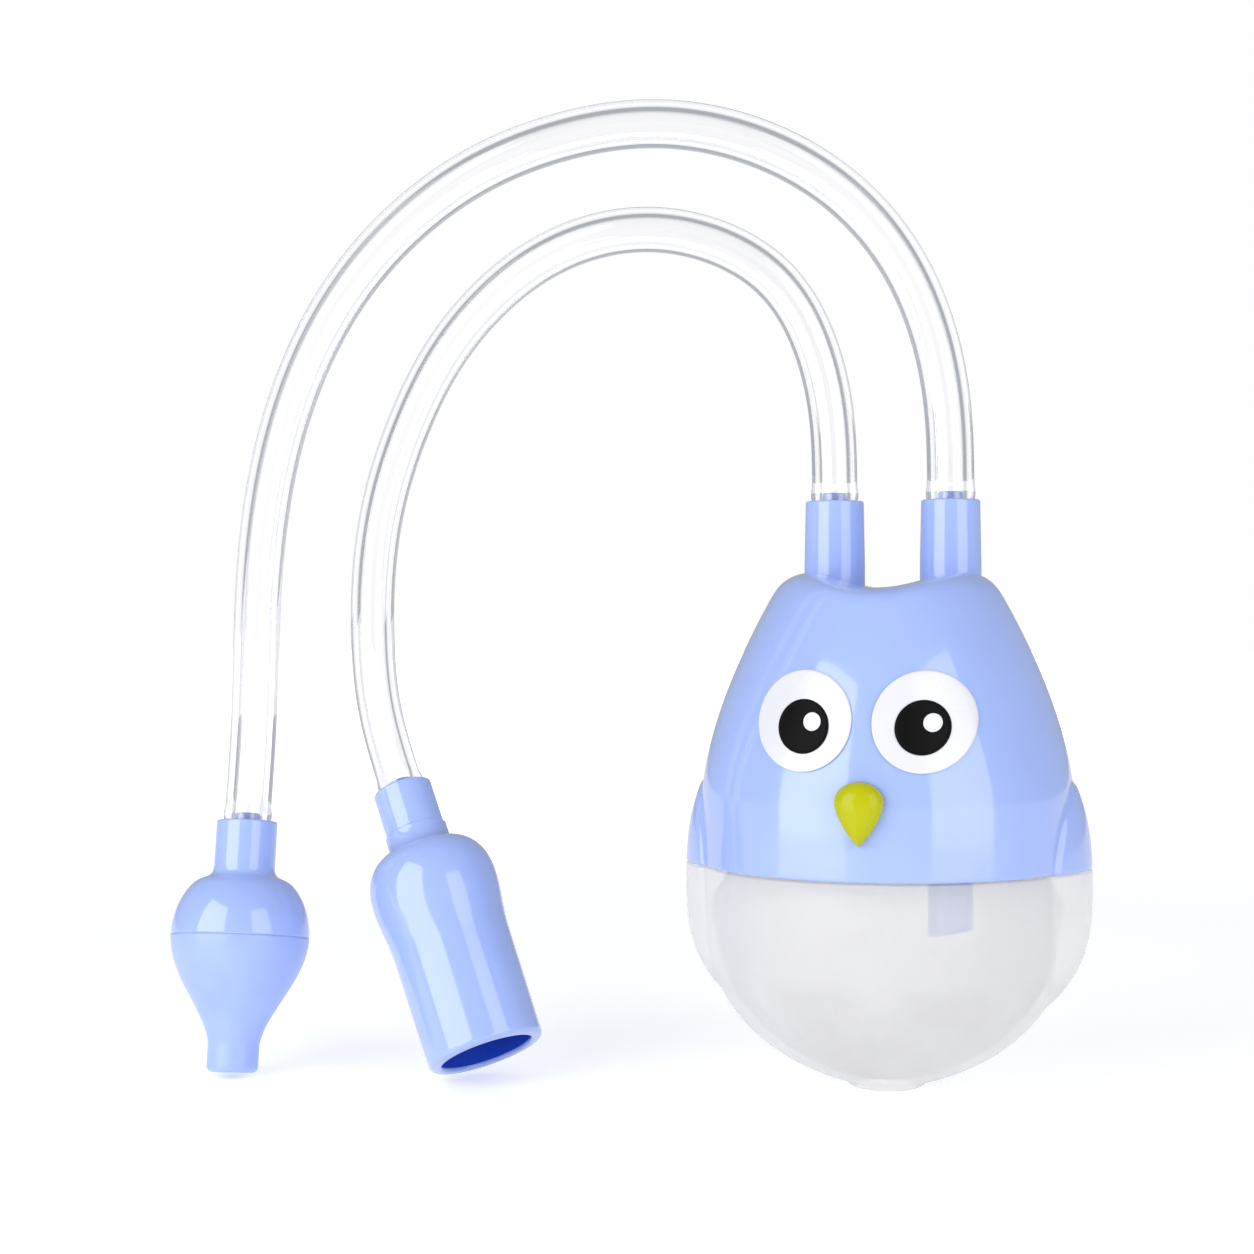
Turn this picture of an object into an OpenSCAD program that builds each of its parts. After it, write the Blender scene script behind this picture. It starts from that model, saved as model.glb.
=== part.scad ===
// Mouth-powered nasal aspirator for babies. The body is an owl: a translucent cup with a blue head,
// joined by an O-ring. Two clear hoses rise from the head and arch over to its right-hand side.
// The long one carries the nasal tip and the short one carries the mouthpiece.
// Millimetres. The origin is the centre of the cup's flat foot, +Z is up and the owl looks along -Y.

/* [Body] */
// Radius of the owl at the seam between cup and head
body_r = 28; // [25:0.5:34]
// Height of the seam above the foot
seam_z = 33.5; // [28:0.5:40]
// Gap that shows at the seam
seam_gap = 0.3; // [0.2:0.05:0.6]

/* [Cup] */
// Fullness of the cup's side, where 2 is an ellipse
cup_fullness = 3.1; // [2:0.1:3.4]
// Fullness of the cup's underside, where 2 is an ellipse and less is more pointed
cup_underside = 1.6; // [1.4:0.1:2.5]
// Wall of the cup
cup_wall = 1.5; // [1.2:0.1:2]
// Floor of the cup
cup_floor = 1.8; // [1.2:0.1:3]
// Radius of the flat foot
foot_r = 6; // [4:0.5:8]
// Height of the neck that enters the head
neck_h = 6.5; // [5:0.5:9]
// Wall of the neck
neck_wall = 1.5; // [1.2:0.1:2]
// Radial clearance between the neck and the head
neck_clearance = 0.08; // [0.05:0.01:0.1]
// Thickness of the O-ring
ring_d = 1; // [0.8:0.1:1.4]

/* [Head] */
// Wall of the head
head_wall = 1.6; // [1.4:0.1:2]
// Extra thickness of the skirt that fits over the neck
skirt_wall = 1; // [0.8:0.1:1.5]
// Height of the head above the seam, up to the ear corners
head_h = 45.2; // [40:0.5:54]
// Half the width that the sides narrow to below the ears
crown_half_w = 17.9; // [16:0.1:22]
// Half the depth that front and back narrow to below the ears
crown_half_d = 17.5; // [16:0.5:20]
// How far the ear corners stand out from the middle of the head
ear_x = 13.2; // [12:0.1:15]
// Drop of the saddle between the ears
saddle_drop = 2.8; // [1:0.1:5]
// Pinch of the sides below the ears, where 1 is a plain oval
side_pinch = 1.25; // [1:0.05:1.5]

/* [Wings] */
// How far a wing stands out from the body
wing_proud = 2.75; // [1.5:0.25:4]
// Height of the wings
wing_h = 34; // [28:0.5:38]
// Width of a wing from front to back
wing_w = 23; // [18:0.5:26]
// Height of a wing's lowest point
wing_z = 12.8; // [11:0.1:15]
// Radius of a wing's own curve seen from above
wing_curve_r = 16.5; // [15:0.5:20]

/* [Face] */
// Distance of each eye from the middle
eye_x = 8.6; // [8:0.1:10]
// Height of the eyes above the seam
eye_z = 22.8; // [20:0.1:26]
// Diameter of the white of an eye
eye_d = 14.4; // [12:0.1:15]
// Diameter of a pupil
pupil_d = 7.7; // [6:0.1:9]
// Diameter of the glint in a pupil
glint_d = 2.6; // [2:0.1:3]
// Width of the beak
beak_w = 7; // [5:0.1:9]
// Length of the beak
beak_h = 9.1; // [7:0.1:12]
// How far the beak stands out
beak_proud = 2.6; // [1.5:0.1:4]
// Height of the beak's tip above the seam
beak_z = 5.4; // [3:0.1:8]

/* [Hoses] */
// Outer diameter of the long hose to the nasal tip
nose_hose_d = 7.2; // [6.5:0.1:7.6]
// Outer diameter of the short hose to the mouthpiece
mouth_hose_d = 7; // [6.5:0.1:7.6]
// Inner diameter of both hoses
hose_bore_d = 4; // [3.5:0.1:4.5]
// Radial clearance of a hose in its collar and on its barb
hose_clearance = 0.05; // [0.03:0.01:0.08]
// Depth of the ring-shaped socket inside a collar
socket_depth = 8; // [6:0.5:10]
// How far a barb stands out of its collar
barb_proud = 1.2; // [0.8:0.1:2]
// Bore of every barb
barb_bore_d = 2.6; // [2:0.1:2.8]

/* [Pipes in the head] */
// Distance of each pipe from the middle
pipe_x = 9; // [8.5:0.1:10]
// Distance of the pipes behind the middle
pipe_y = 7; // [6:0.5:9]
// Height of the collars above the seam
collar_z = 55.7; // [53:0.1:62]
// Outer radius of a collar at its top
collar_top_r = 4.5; // [4.4:0.1:5]
// Outer radius of a collar where it enters the head
collar_r = 4.7; // [4.6:0.1:5.2]
// Outer radius of the pipes below the collars
pipe_r = 3.5; // [3.2:0.1:4]
// Bore radius of the pipes below the barbs
pipe_bore_r = 2.3; // [1.8:0.1:2.6]
// How far the inlet pipe reaches below the seam
inlet_drop = 11; // [6:0.5:16]
// Slant of the inlet pipe's lower end
inlet_slant = 10; // [0:1:30]

/* [Nasal tip] */
// Length from the collar's rim to the end of the nozzle
nasal_len = 38.9; // [36:0.1:39]
// Length of the collar
nasal_collar_len = 7.8; // [6:0.1:9]
// Radius of the collar
nasal_collar_r = 4.75; // [4.6:0.05:5.2]
// Distance of the bulb's widest point below the rim
bulb_drop = 18; // [17:0.1:19]
// Radius of the bulb
bulb_r = 10.7; // [9.5:0.1:12]
// Radius of the nozzle at its end
nozzle_r = 3.95; // [3.6:0.05:4.6]
// Radius of the hole in the nozzle
nozzle_bore_r = 1.7; // [1.2:0.1:2]
// Length of that hole
nozzle_bore_len = 6; // [4:0.5:7]
// Wall of the soft nozzle
nozzle_wall = 1.4; // [1.2:0.1:1.8]
// Depth of the lip that the nozzle is pulled over
lip_depth = 4; // [3:0.5:5]
// Lean of the nasal tip from upright, in degrees
nasal_tilt = 10.5;
// Direction of that lean about the vertical, in degrees
nasal_turn = 95;

/* [Mouthpiece] */
// Length from the collar's rim to the open end
mouth_len = 45.2; // [42:0.1:46]
// Length of the collar
mouth_collar_len = 7.6; // [6:0.1:9]
// Radius of the collar
mouth_collar_r = 4.7; // [4.6:0.05:5.2]
// Radius of the neck ring below the collar
neck_ring_r = 5; // [4.9:0.05:5.6]
// Length of the neck ring
neck_ring_len = 3.1; // [2:0.1:4]
// Radius of the stub that is pressed into the neck ring
stub_r = 3.7; // [3.4:0.1:3.9]
// Length of that stub
stub_len = 6; // [4:0.5:7]
// Radius of the shoulder
shoulder_r = 10.1; // [9.6:0.1:11]
// Radius of the open end
mouth_r = 9.05; // [8:0.05:9.5]
// Wall of the mouthpiece
mouth_wall = 1.9; // [1.5:0.1:2.2]
// Lean of the mouthpiece from upright, in degrees
mouth_tilt = 29.5;
// Direction of that lean about the vertical, in degrees
mouth_turn = 146;

/* [Hidden] */
$fn = 96;
eps = 0.01;

// Colours
blue = [0.62, 0.75, 0.98];
soft_blue = [0.66, 0.78, 0.98];
frosted = [0.90, 0.92, 0.95, 0.7];
clear = [0.85, 0.87, 0.9, 0.45];

// Heights and radii that follow from the driving dimensions
ear_top = seam_z + head_h;
sides_straight_to = seam_z + 10.5;
crown_z = ear_top - 6.7;
taper_ref_z = ear_top - 4.7;
taper_power = 1.6;
crown_round = 5.5;
skirt_bore_r = body_r - head_wall - skirt_wall;
neck_r = skirt_bore_r - neck_clearance;
neck_top = seam_z + neck_h;
ring_clearance = 0.03;
lid_gap = 0.3;
lid_t = 1.6;
lid_z = neck_top + lid_gap;
skirt_z = seam_z + ring_d + 2 * ring_clearance;
skirt_top = lid_z + lid_t + 0.6;
collar_top = seam_z + collar_z;
cup_steps = 28;

// Hose routes. The first and last points are 0.1 mm beyond the barbs' ends.
barb_gap = 0.1;
rim_drop = barb_proud + barb_gap;
nose_end = [-99.5, -12, 40.2];
mouth_end = [-78.5, 0, 44.7];
nose_route = [
    [pipe_x, pipe_y, collar_top + rim_drop], [9, 6.5, 103.5], [6.5, 4.5, 117], [0.5, 0.5, 129.5],
    [-9.5, -4, 139], [-22, -8.5, 144.5], [-35, -12.5, 146], [-48.5, -15.5, 143.5],
    [-61.5, -17, 138.5], [-73, -18, 130], [-82, -18, 120], [-89, -17, 108],
    [-94, -15, 95], [-97, -13, 81.5], [-98.5, -11, 68], [-99.5, -9.5, 54], nose_end
];
mouth_route = [
    [-pipe_x, pipe_y, collar_top + rim_drop], [-9, 6.5, 102.5], [-11.5, 5, 114.5],
    [-17.5, 3.5, 125], [-28.5, 1.5, 131], [-40.5, 0, 132.5], [-52.5, -0.5, 129.5],
    [-62.5, -0.5, 123], [-71, 0, 114], [-77, 1, 103.5], [-81.5, 1.5, 92], [-84, 2.5, 80.5],
    [-84.5, 3, 68], [-83.5, 3, 56], mouth_end
];
hose_sides = 12;
mouth_socket_depth = min(socket_depth, mouth_collar_len - 1);

// ---- Shape functions ----

// Radius of the cup at height z: a superellipse from the foot up to the seam
function cup_radius(z, r = body_r) =
    r * pow(max(0, 1 - pow(max(0, 1 - z / seam_z), cup_fullness)), 1 / cup_underside);

// How far the head's taper has gone at height z
function taper(z) = pow(max(0, (z - sides_straight_to) / (taper_ref_z - sides_straight_to)), taper_power);
function half_width(z) = body_r - (body_r - crown_half_w) * taper(z);
function half_depth(z) = body_r - (body_r - crown_half_d) * taper(z);
function pinch(z) = 1 + (side_pinch - 1) * taper(z);

// Height of the saddle line at distance x from the middle
function saddle(x) = ear_top - saddle_drop * pow(cos(90 * min(1, abs(x) / ear_x)), 2);

// One point of the head: ring scale k, height z, angle t, moved inwards by the wall
function oval_point(k, z, t, inset) = [
    (half_width(z) - inset) * k * cos(t),
    (half_depth(z) - inset) * k * sign(sin(t)) * pow(abs(sin(t)), pinch(z)),
    z
];
function crown_height(k, t, inset) =
    let(top = saddle(half_width(ear_top) * k * cos(t)) - 1.2 * inset)
    crown_z + (top - crown_z) * pow(max(0, 1 - pow(k, crown_round)), 1 / crown_round);

side_steps = 18;
crown_steps = 10;
turns = 64;
function head_rings(inset, z0) = concat(
    [for (i = [0:side_steps]) [for (j = [0:turns - 1])
        oval_point(1, z0 + (crown_z - z0) * i / side_steps, 360 * j / turns, inset)]],
    [for (i = [1:crown_steps]) let(k = sqrt(cos(90 * i / (crown_steps + 0.5))))
        [for (j = [0:turns - 1]) let(t = 360 * j / turns)
            oval_point(k, crown_height(k, t, inset), t, inset)]]
);

// Front surface of the head at x and z
function face_y(x, z) =
    -half_depth(z) * pow(max(0, 1 - pow(x / half_width(z), 2)), pinch(z) / 2);

// Joins the points of two lists of rings, an outer skin and an inner one, into a closed shell
function ring_faces(first, rings, n, flip) = [
    for (i = [0:rings - 2]) for (j = [0:n - 1])
        let(a = first + i * n + j, b = first + i * n + (j + 1) % n)
        flip ? [a, b, b + n, a + n] : [a, a + n, b + n, b]
];

// ---- Wings ----

// Radius of a wing's surface at height z
function wing_radius(z) =
    let(u = (z - wing_z - wing_h / 2) / (wing_h / 2))
    (z > seam_z ? body_r : cup_radius(z)) + wing_proud * (1 - pow(abs(u), 3));

// Both wings between two heights, cut off inside by the given core radius at each height
module wings(z0, z1, depth) {
    steps = 16;
    centre_z = wing_z + wing_h / 2;
    reach = wing_curve_r;
    outline = [for (a = [0:15:345]) [wing_w / 2 * cos(a), centre_z + wing_h / 2 * sin(a)]];
    offset_x = body_r + wing_proud - reach;
    heights = [for (i = [0:steps]) z0 + (z1 - z0) * i / steps];
    difference() {
        intersection() {
            union() {
                for (side = [-1, 1])
                    translate([side * offset_x, 0, 0])
                        rotate_extrude()
                            polygon(concat(
                                [[0, z0]],
                                [for (z = heights) [wing_radius(z) - offset_x, z]],
                                [[0, z1]]
                            ));
            }
            rotate([90, 0, 90])
                linear_extrude(2 * (body_r + 2 * wing_proud), center = true) polygon(outline);
        }
        rotate_extrude()
            polygon(concat(
                [[0, z0 - 1]],
                [for (z = concat([z0 - 1], heights, [z1 + 1]))
                    [(z > seam_z ? body_r : cup_radius(z)) - depth, z]],
                [[0, z1 + 1]]
            ));
    }
}

// ---- Cup ----

module cup() {
    first_z = seam_z * 0.012;
    outer = concat(
        [[0, 0], [foot_r, 0]],
        [for (i = [0:cup_steps])
            let(z = first_z + (seam_z - first_z) * pow(i / cup_steps, 1.6))
            [max(foot_r, cup_radius(z)), z]],
        [[neck_r, seam_z], [neck_r, neck_top], [neck_r - neck_wall, neck_top]],
        [[neck_r - neck_wall, seam_z - 1]],
        [for (i = [cup_steps - 1:-1:1])
            let(z = cup_floor + (seam_z - 5 - cup_floor) * pow(i / (cup_steps - 1), 1.6))
            [cup_radius(z - cup_floor * 0.6, body_r - cup_wall), z]],
        [[0, cup_floor]]
    );
    color(frosted)
        union() {
            rotate_extrude() polygon(outer);
            wings(wing_z, seam_z, cup_wall / 2);
        }
}

module seal_ring() {
    color([0.93, 0.94, 0.96])
        translate([0, 0, seam_z + ring_d / 2 + ring_clearance])
            rotate_extrude() translate([neck_r + ring_d / 2 + ring_clearance, 0]) circle(d = ring_d);
}

// ---- Head ----

module head_skin() {
    z0 = seam_z + seam_gap;
    outer = head_rings(0, z0);
    inner = head_rings(head_wall, z0);
    rings = len(outer);
    n = turns;
    top = [0, 0, saddle(0)];
    under = [0, 0, saddle(0) - 1.2 * head_wall];
    points = concat([for (r = outer) each r], [for (r = inner) each r], [top, under]);
    half = rings * n;
    faces = concat(
        ring_faces(0, rings, n, false),
        ring_faces(half, rings, n, true),
        [for (j = [0:n - 1]) [(rings - 1) * n + j, 2 * half, (rings - 1) * n + (j + 1) % n]],
        [for (j = [0:n - 1])
            [half + (rings - 1) * n + (j + 1) % n, 2 * half + 1, half + (rings - 1) * n + j]],
        [for (j = [0:n - 1]) [j, (j + 1) % n, half + (j + 1) % n, half + j]]
    );
    polyhedron(points, faces, convexity = 6);
}

module head_shell() {
    color(blue)
        difference() {
            union() {
                head_skin();
                rotate_extrude()
                    translate([skirt_bore_r, skirt_z])
                        square([skirt_wall + head_wall / 2, skirt_top - skirt_z]);
                wings(seam_z + seam_gap, wing_z + wing_h, head_wall / 2);
            }
            for (side = [-1, 1])
                translate([side * pipe_x, pipe_y, ear_top - 15]) cylinder(r = collar_r, h = 30);
        }
}

module inner_lid() {
    color(soft_blue)
        translate([0, 0, lid_z])
            difference() {
                cylinder(r = skirt_bore_r, h = lid_t);
                for (side = [-1, 1])
                    translate([side * pipe_x, pipe_y, -1]) cylinder(r = pipe_r, h = lid_t + 2);
            }
}

// ---- Collars and pipes ----

// Ring-shaped socket and bore for a hose, cut downwards from z = 0 at the collar's rim
module hose_socket(hose_d, depth = socket_depth) {
    rotate_extrude()
        translate([hose_bore_d / 2 - hose_clearance, -depth])
            square([hose_d / 2 - hose_bore_d / 2 + 2 * hose_clearance, depth + 1]);
}

// The barb that stands inside the socket, up to its end above the rim
module barb_tip() {
    cylinder(r = hose_bore_d / 2 - hose_clearance, h = barb_proud + eps);
}

module head_pipe(side, hose_d, bottom_z) {
    above_head = ear_top + 1;
    step_z = saddle(pipe_x) - 5;
    translate([side * pipe_x, pipe_y, 0])
        difference() {
            union() {
                translate([0, 0, bottom_z]) cylinder(r = pipe_r, h = step_z - bottom_z + eps);
                translate([0, 0, step_z]) cylinder(r = collar_r, h = above_head - step_z);
                translate([0, 0, above_head])
                    cylinder(r1 = collar_r, r2 = collar_top_r, h = collar_top - above_head);
                translate([0, 0, collar_top - eps]) barb_tip();
            }
            translate([0, 0, collar_top]) hose_socket(hose_d);
            translate([0, 0, bottom_z - 1]) cylinder(r = barb_bore_d / 2, h = collar_top);
            translate([0, 0, bottom_z - 1])
                cylinder(r = pipe_bore_r, h = step_z + 1 - bottom_z);
        }
}

module inlet_pipe() {
    end_z = seam_z - inlet_drop;
    color(blue)
        difference() {
            head_pipe(1, nose_hose_d, end_z - 2);
            translate([pipe_x, pipe_y, end_z])
                rotate([0, -inlet_slant, 0])
                    translate([0, 0, -10]) cube([40, 40, 20], center = true);
        }
}

module outlet_pipe() {
    color(blue) head_pipe(-1, mouth_hose_d, lid_z - 2);
}

// ---- Face ----

// Round disc that lies on the face, between two distances from its surface
module face_disc(x, z, d, near, far) {
    rings = 4;
    n = 32;
    function spot(i, j, lift) =
        let(px = x + d / 2 * i / rings * cos(360 * j / n), pz = z + d / 2 * i / rings * sin(360 * j / n))
        [px, face_y(px, pz) - lift, pz];
    skin = function(lift) [for (i = [1:rings]) for (j = [0:n - 1]) spot(i, j, lift)];
    half = rings * n;
    points = concat(skin(far), skin(near), [[x, face_y(x, z) - far, z], [x, face_y(x, z) - near, z]]);
    faces = concat(
        ring_faces(0, rings, n, true),
        ring_faces(half, rings, n, false),
        [for (j = [0:n - 1]) [2 * half, (j + 1) % n, j]],
        [for (j = [0:n - 1]) [2 * half + 1, half + j, half + (j + 1) % n]],
        [for (j = [0:n - 1]) let(a = (rings - 1) * n + j, b = (rings - 1) * n + (j + 1) % n)
            [a, b, half + b, half + a]]
    );
    polyhedron(points, faces);
}

face_gap = 0.04;
white_t = 0.45;
pupil_t = 0.2;
glint_t = 0.1;
pupil_drop = 0.8;
glint_shift = [1.35, 0.7];

module eye_white(side) {
    color([0.94, 0.94, 0.96])
        face_disc(side * eye_x, seam_z + eye_z, eye_d, face_gap, white_t);
}

module pupil(side) {
    color([0.05, 0.05, 0.05])
        face_disc(side * (eye_x - 0.1), seam_z + eye_z - pupil_drop, pupil_d,
            white_t + face_gap, white_t + pupil_t);
}

module glint(side) {
    color("white")
        face_disc(side * (eye_x - 0.1) + glint_shift[0], seam_z + eye_z - pupil_drop + glint_shift[1],
            glint_d, white_t + pupil_t + face_gap, white_t + pupil_t + glint_t);
}

// Outline of the beak: a round top that runs down to a point, by angle from the right
function beak_edge(a) =
    let(s = sin(a), narrow = s < 0 ? pow(1 - pow(-s, 1.6), 0.9) : sqrt(1 - s * s))
    [sign(cos(a)) * beak_w / 2 * narrow, s < 0 ? s * beak_h * 0.68 : s * beak_h * 0.32];

module beak() {
    rings = 8;
    n = 40;
    wide_z = seam_z + beak_z + beak_h * 0.68;
    function spot(i, j, lift) =
        let(e = beak_edge(360 * j / n) * i / rings, z = wide_z + e[1])
        [e[0], face_y(e[0], z) - lift, z];
    front = [for (i = [1:rings]) for (j = [0:n - 1])
        spot(i, j, face_gap + 0.6 + (beak_proud - 0.6) * sqrt(1 - pow(i / rings, 2)))];
    back = [for (i = [1:rings]) for (j = [0:n - 1]) spot(i, j, face_gap)];
    half = rings * n;
    points = concat(front, back,
        [[0, face_y(0, wide_z) - face_gap - beak_proud, wide_z], [0, face_y(0, wide_z) - face_gap, wide_z]]);
    faces = concat(
        ring_faces(0, rings, n, true),
        ring_faces(half, rings, n, false),
        [for (j = [0:n - 1]) [2 * half, (j + 1) % n, j]],
        [for (j = [0:n - 1]) [2 * half + 1, half + j, half + (j + 1) % n]],
        [for (j = [0:n - 1]) let(a = (rings - 1) * n + j, b = (rings - 1) * n + (j + 1) % n)
            [a, b, half + b, half + a]]
    );
    color([0.79, 0.83, 0.05]) polyhedron(points, faces);
}

// ---- Hoses ----

// Unit vector of a tip's axis, pointing from its collar to its open end
function tip_axis(tilt, turn) = [-sin(tilt) * cos(turn), -sin(tilt) * sin(turn), -cos(tilt)];
function unit(v) = v / norm(v);

// Points of a uniform cubic B-spline at its knots, with both ends held
function spline_knots(p) = [for (i = [0:len(p) - 1])
    i == 0 || i == len(p) - 1 ? p[i] : (p[i - 1] + 4 * p[i] + p[i + 1]) / 6];

function hose_ring(centre, along, r) =
    let(side = unit(cross(along, [0, 1, 0])), up = cross(side, along))
    [for (j = [0:hose_sides - 1])
        centre + r * (cos(360 * j / hose_sides) * side + sin(360 * j / hose_sides) * up)];

// Solid tube along a route that starts straight up and ends along the given axis
module hose_run(route, end_axis, d) {
    knots = spline_knots(route);
    last = len(knots) - 1;
    start_in = [0, 0, 1];
    rings = [for (i = [0:last])
        i == 0 ? hose_ring(knots[0] + start_in, [0, 0, 1], 0.48 * d)
        : i == last ? hose_ring(knots[last] - end_axis, end_axis, 0.48 * d)
        : hose_ring(knots[i], unit(knots[i + 1] - knots[i - 1]), d / 2)];
    faces = concat(
        ring_faces(0, len(rings), hose_sides, true),
        [[for (j = [hose_sides - 1:-1:0]) j]],
        [[for (j = [0:hose_sides - 1]) last * hose_sides + j]]
    );
    polyhedron([for (r = rings) each r], faces, convexity = 8);
}

// End of a hose: a sleeve over the barb below z = 0 and a short solid length above it
module hose_end(d, depth = socket_depth) {
    sleeve = depth - 0.5 + rim_drop;
    rotate_extrude()
        polygon([
            [hose_bore_d / 2, -sleeve], [d / 2, -sleeve], [d / 2, 2], [0, 2],
            [0, 0], [hose_bore_d / 2, 0]
        ]);
}

module nose_hose() {
    color(clear)
        union() {
            hose_run(nose_route, tip_axis(nasal_tilt, nasal_turn), nose_hose_d);
            translate(nose_route[0]) hose_end(nose_hose_d);
            translate(nose_end) rotate([0, nasal_tilt, nasal_turn]) hose_end(nose_hose_d);
        }
}

module mouth_hose() {
    color(clear)
        union() {
            hose_run(mouth_route, tip_axis(mouth_tilt, mouth_turn), mouth_hose_d);
            translate(mouth_route[0]) hose_end(mouth_hose_d);
            translate(mouth_end)
                rotate([0, mouth_tilt, mouth_turn]) hose_end(mouth_hose_d, mouth_socket_depth);
        }
}

// ---- Nasal tip, drawn with its collar's rim at z = 0 and its open end downwards ----

module at_nasal_tip() {
    translate(nose_end)
        rotate([0, nasal_tilt, nasal_turn]) translate([0, 0, -rim_drop]) children();
}

// Radius of the bulb's upper half at distance s below the rim
fillet_len = 2.6;
bulb_top = nasal_collar_len + fillet_len;
function upper_bulb(s) =
    bulb_r * pow(1 - pow((bulb_drop - s) / (bulb_drop - nasal_collar_len + 1.2), 2.1), 0.5);

// Radius of the soft nozzle at height h above its end
function lower_bulb(h) =
    let(full = nasal_len - bulb_drop, u = min(1, max(0, (h - 4) / (full - 4))))
    nozzle_r + (bulb_r - nozzle_r) * pow((1 - cos(180 * pow(u, 0.93))) / 2, 0.9);

lip_r = bulb_r - nozzle_wall;

module tip_socket() {
    upper = [for (i = [0:14]) let(s = bulb_top + (bulb_drop - bulb_top) * i / 14) [upper_bulb(s), -s]];
    inside = [for (i = [12:-1:0])
        let(s = bulb_top + 2 + (bulb_drop - bulb_top - 2) * i / 12)
        [max(barb_bore_d / 2, upper_bulb(s) - nozzle_wall - 1.4), -s]];
    color(blue)
        at_nasal_tip()
            difference() {
                union() {
                    rotate_extrude()
                        polygon(concat(
                            [[0, 0], [nasal_collar_r, 0], [nasal_collar_r, -nasal_collar_len]],
                            upper,
                            [[lip_r, -bulb_drop], [lip_r, -bulb_drop - lip_depth]],
                            [[lip_r - 1.4, -bulb_drop - lip_depth]],
                            inside,
                            [[0, -bulb_top - 2]]
                        ));
                    translate([0, 0, -eps]) barb_tip();
                }
                hose_socket(nose_hose_d);
                translate([0, 0, -bulb_drop]) cylinder(r = barb_bore_d / 2, h = bulb_drop + 5);
            }
}

module nozzle() {
    end_round = 0.6;
    full = nasal_len - bulb_drop;
    steps = 24;
    outer = [for (i = [0:steps]) let(h = end_round + (full - end_round) * i / steps)
        [lower_bulb(h), h - nasal_len]];
    cavity_h = full - lip_depth - 0.4 - nozzle_bore_len;
    inner = [for (i = [steps:-1:1]) let(h = nozzle_bore_len + cavity_h * i / steps)
        [max(nozzle_bore_r, lower_bulb(h) - nozzle_wall), h - nasal_len]];
    color(soft_blue)
        at_nasal_tip()
            rotate_extrude()
                polygon(concat(
                    [[nozzle_r - end_round, -nasal_len]],
                    outer,
                    [[lip_r, -bulb_drop], [lip_r, -bulb_drop - lip_depth - 0.1]],
                    inner,
                    [[nozzle_bore_r, nozzle_bore_len - nasal_len], [nozzle_bore_r, -nasal_len]]
                ));
}

// ---- Mouthpiece, drawn the same way ----

module at_mouthpiece() {
    translate(mouth_end)
        rotate([0, mouth_tilt, mouth_turn]) translate([0, 0, -rim_drop]) children();
}

module mouth_connector() {
    color(blue)
        at_mouthpiece()
            difference() {
                union() {
                    translate([0, 0, -mouth_collar_len])
                        cylinder(r = mouth_collar_r, h = mouth_collar_len);
                    translate([0, 0, -mouth_collar_len - stub_len]) cylinder(r = stub_r, h = stub_len + eps);
                    translate([0, 0, -eps]) barb_tip();
                }
                hose_socket(mouth_hose_d, mouth_socket_depth);
                translate([0, 0, -mouth_len]) cylinder(r = barb_bore_d / 2, h = mouth_len + 5);
            }
}

// Radius of the mouthpiece at distance s below the collar's rim: a shoulder and a long straight skirt
ring_bottom = mouth_collar_len + neck_ring_len;
shoulder_at = ring_bottom + 7.5;
function mouth_radius(s) =
    s < shoulder_at
    ? let(u = (shoulder_at - s) / (shoulder_at - ring_bottom))
        neck_ring_r + (shoulder_r - neck_ring_r) * pow(1 - pow(u, 2.4), 1 / 1.9)
    : let(u = min(1, (s - shoulder_at) / 9))
        mouth_r + 0.35 * (1 - (s - shoulder_at) / (mouth_len - shoulder_at))
        + (shoulder_r - mouth_r - 0.35) * (1 + cos(180 * u)) / 2;

module mouthpiece() {
    edge = 0.9;
    steps = 30;
    s_at = [for (i = [0:steps]) ring_bottom + (mouth_len - edge - ring_bottom) * pow(i / steps, 1.5)];
    outer = [for (s = s_at) [mouth_radius(s), -s]];
    rounding = [for (a = [20:20:80]) [mouth_r - edge + edge * cos(a), -mouth_len + edge - edge * sin(a)]];
    bore_r = mouth_r - mouth_wall;
    dome_h = 5;
    dome = [for (a = [0:15:75]) [stub_r + (bore_r - stub_r) * cos(a), -shoulder_at + dome_h * sin(a)]];
    color(blue)
        at_mouthpiece()
            rotate_extrude()
                polygon(concat(
                    [[stub_r, -mouth_collar_len], [neck_ring_r, -mouth_collar_len]],
                    outer,
                    rounding,
                    [[bore_r, -mouth_len]],
                    dome,
                    [[stub_r, dome_h - shoulder_at]]
                ));
}

cup();
seal_ring();
head_shell();
inner_lid();
inlet_pipe();
outlet_pipe();
beak();
eye_white(1);  // left_eye_white
eye_white(-1);  // right_eye_white
pupil(1);  // left_pupil
pupil(-1);  // right_pupil
glint(1);  // left_glint
glint(-1);  // right_glint
nose_hose();
mouth_hose();
tip_socket();
nozzle();
mouth_connector();
mouthpiece();
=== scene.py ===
"""Looks of a mouth-powered nasal aspirator: an owl-shaped cup, two clear hoses, a soft tip and a
mouthpiece.

Lengths in this file are millimetres until add_piece puts them into a mesh, which is in metres. The
materials, the floor and the lights are in metres throughout.
"""

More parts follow.
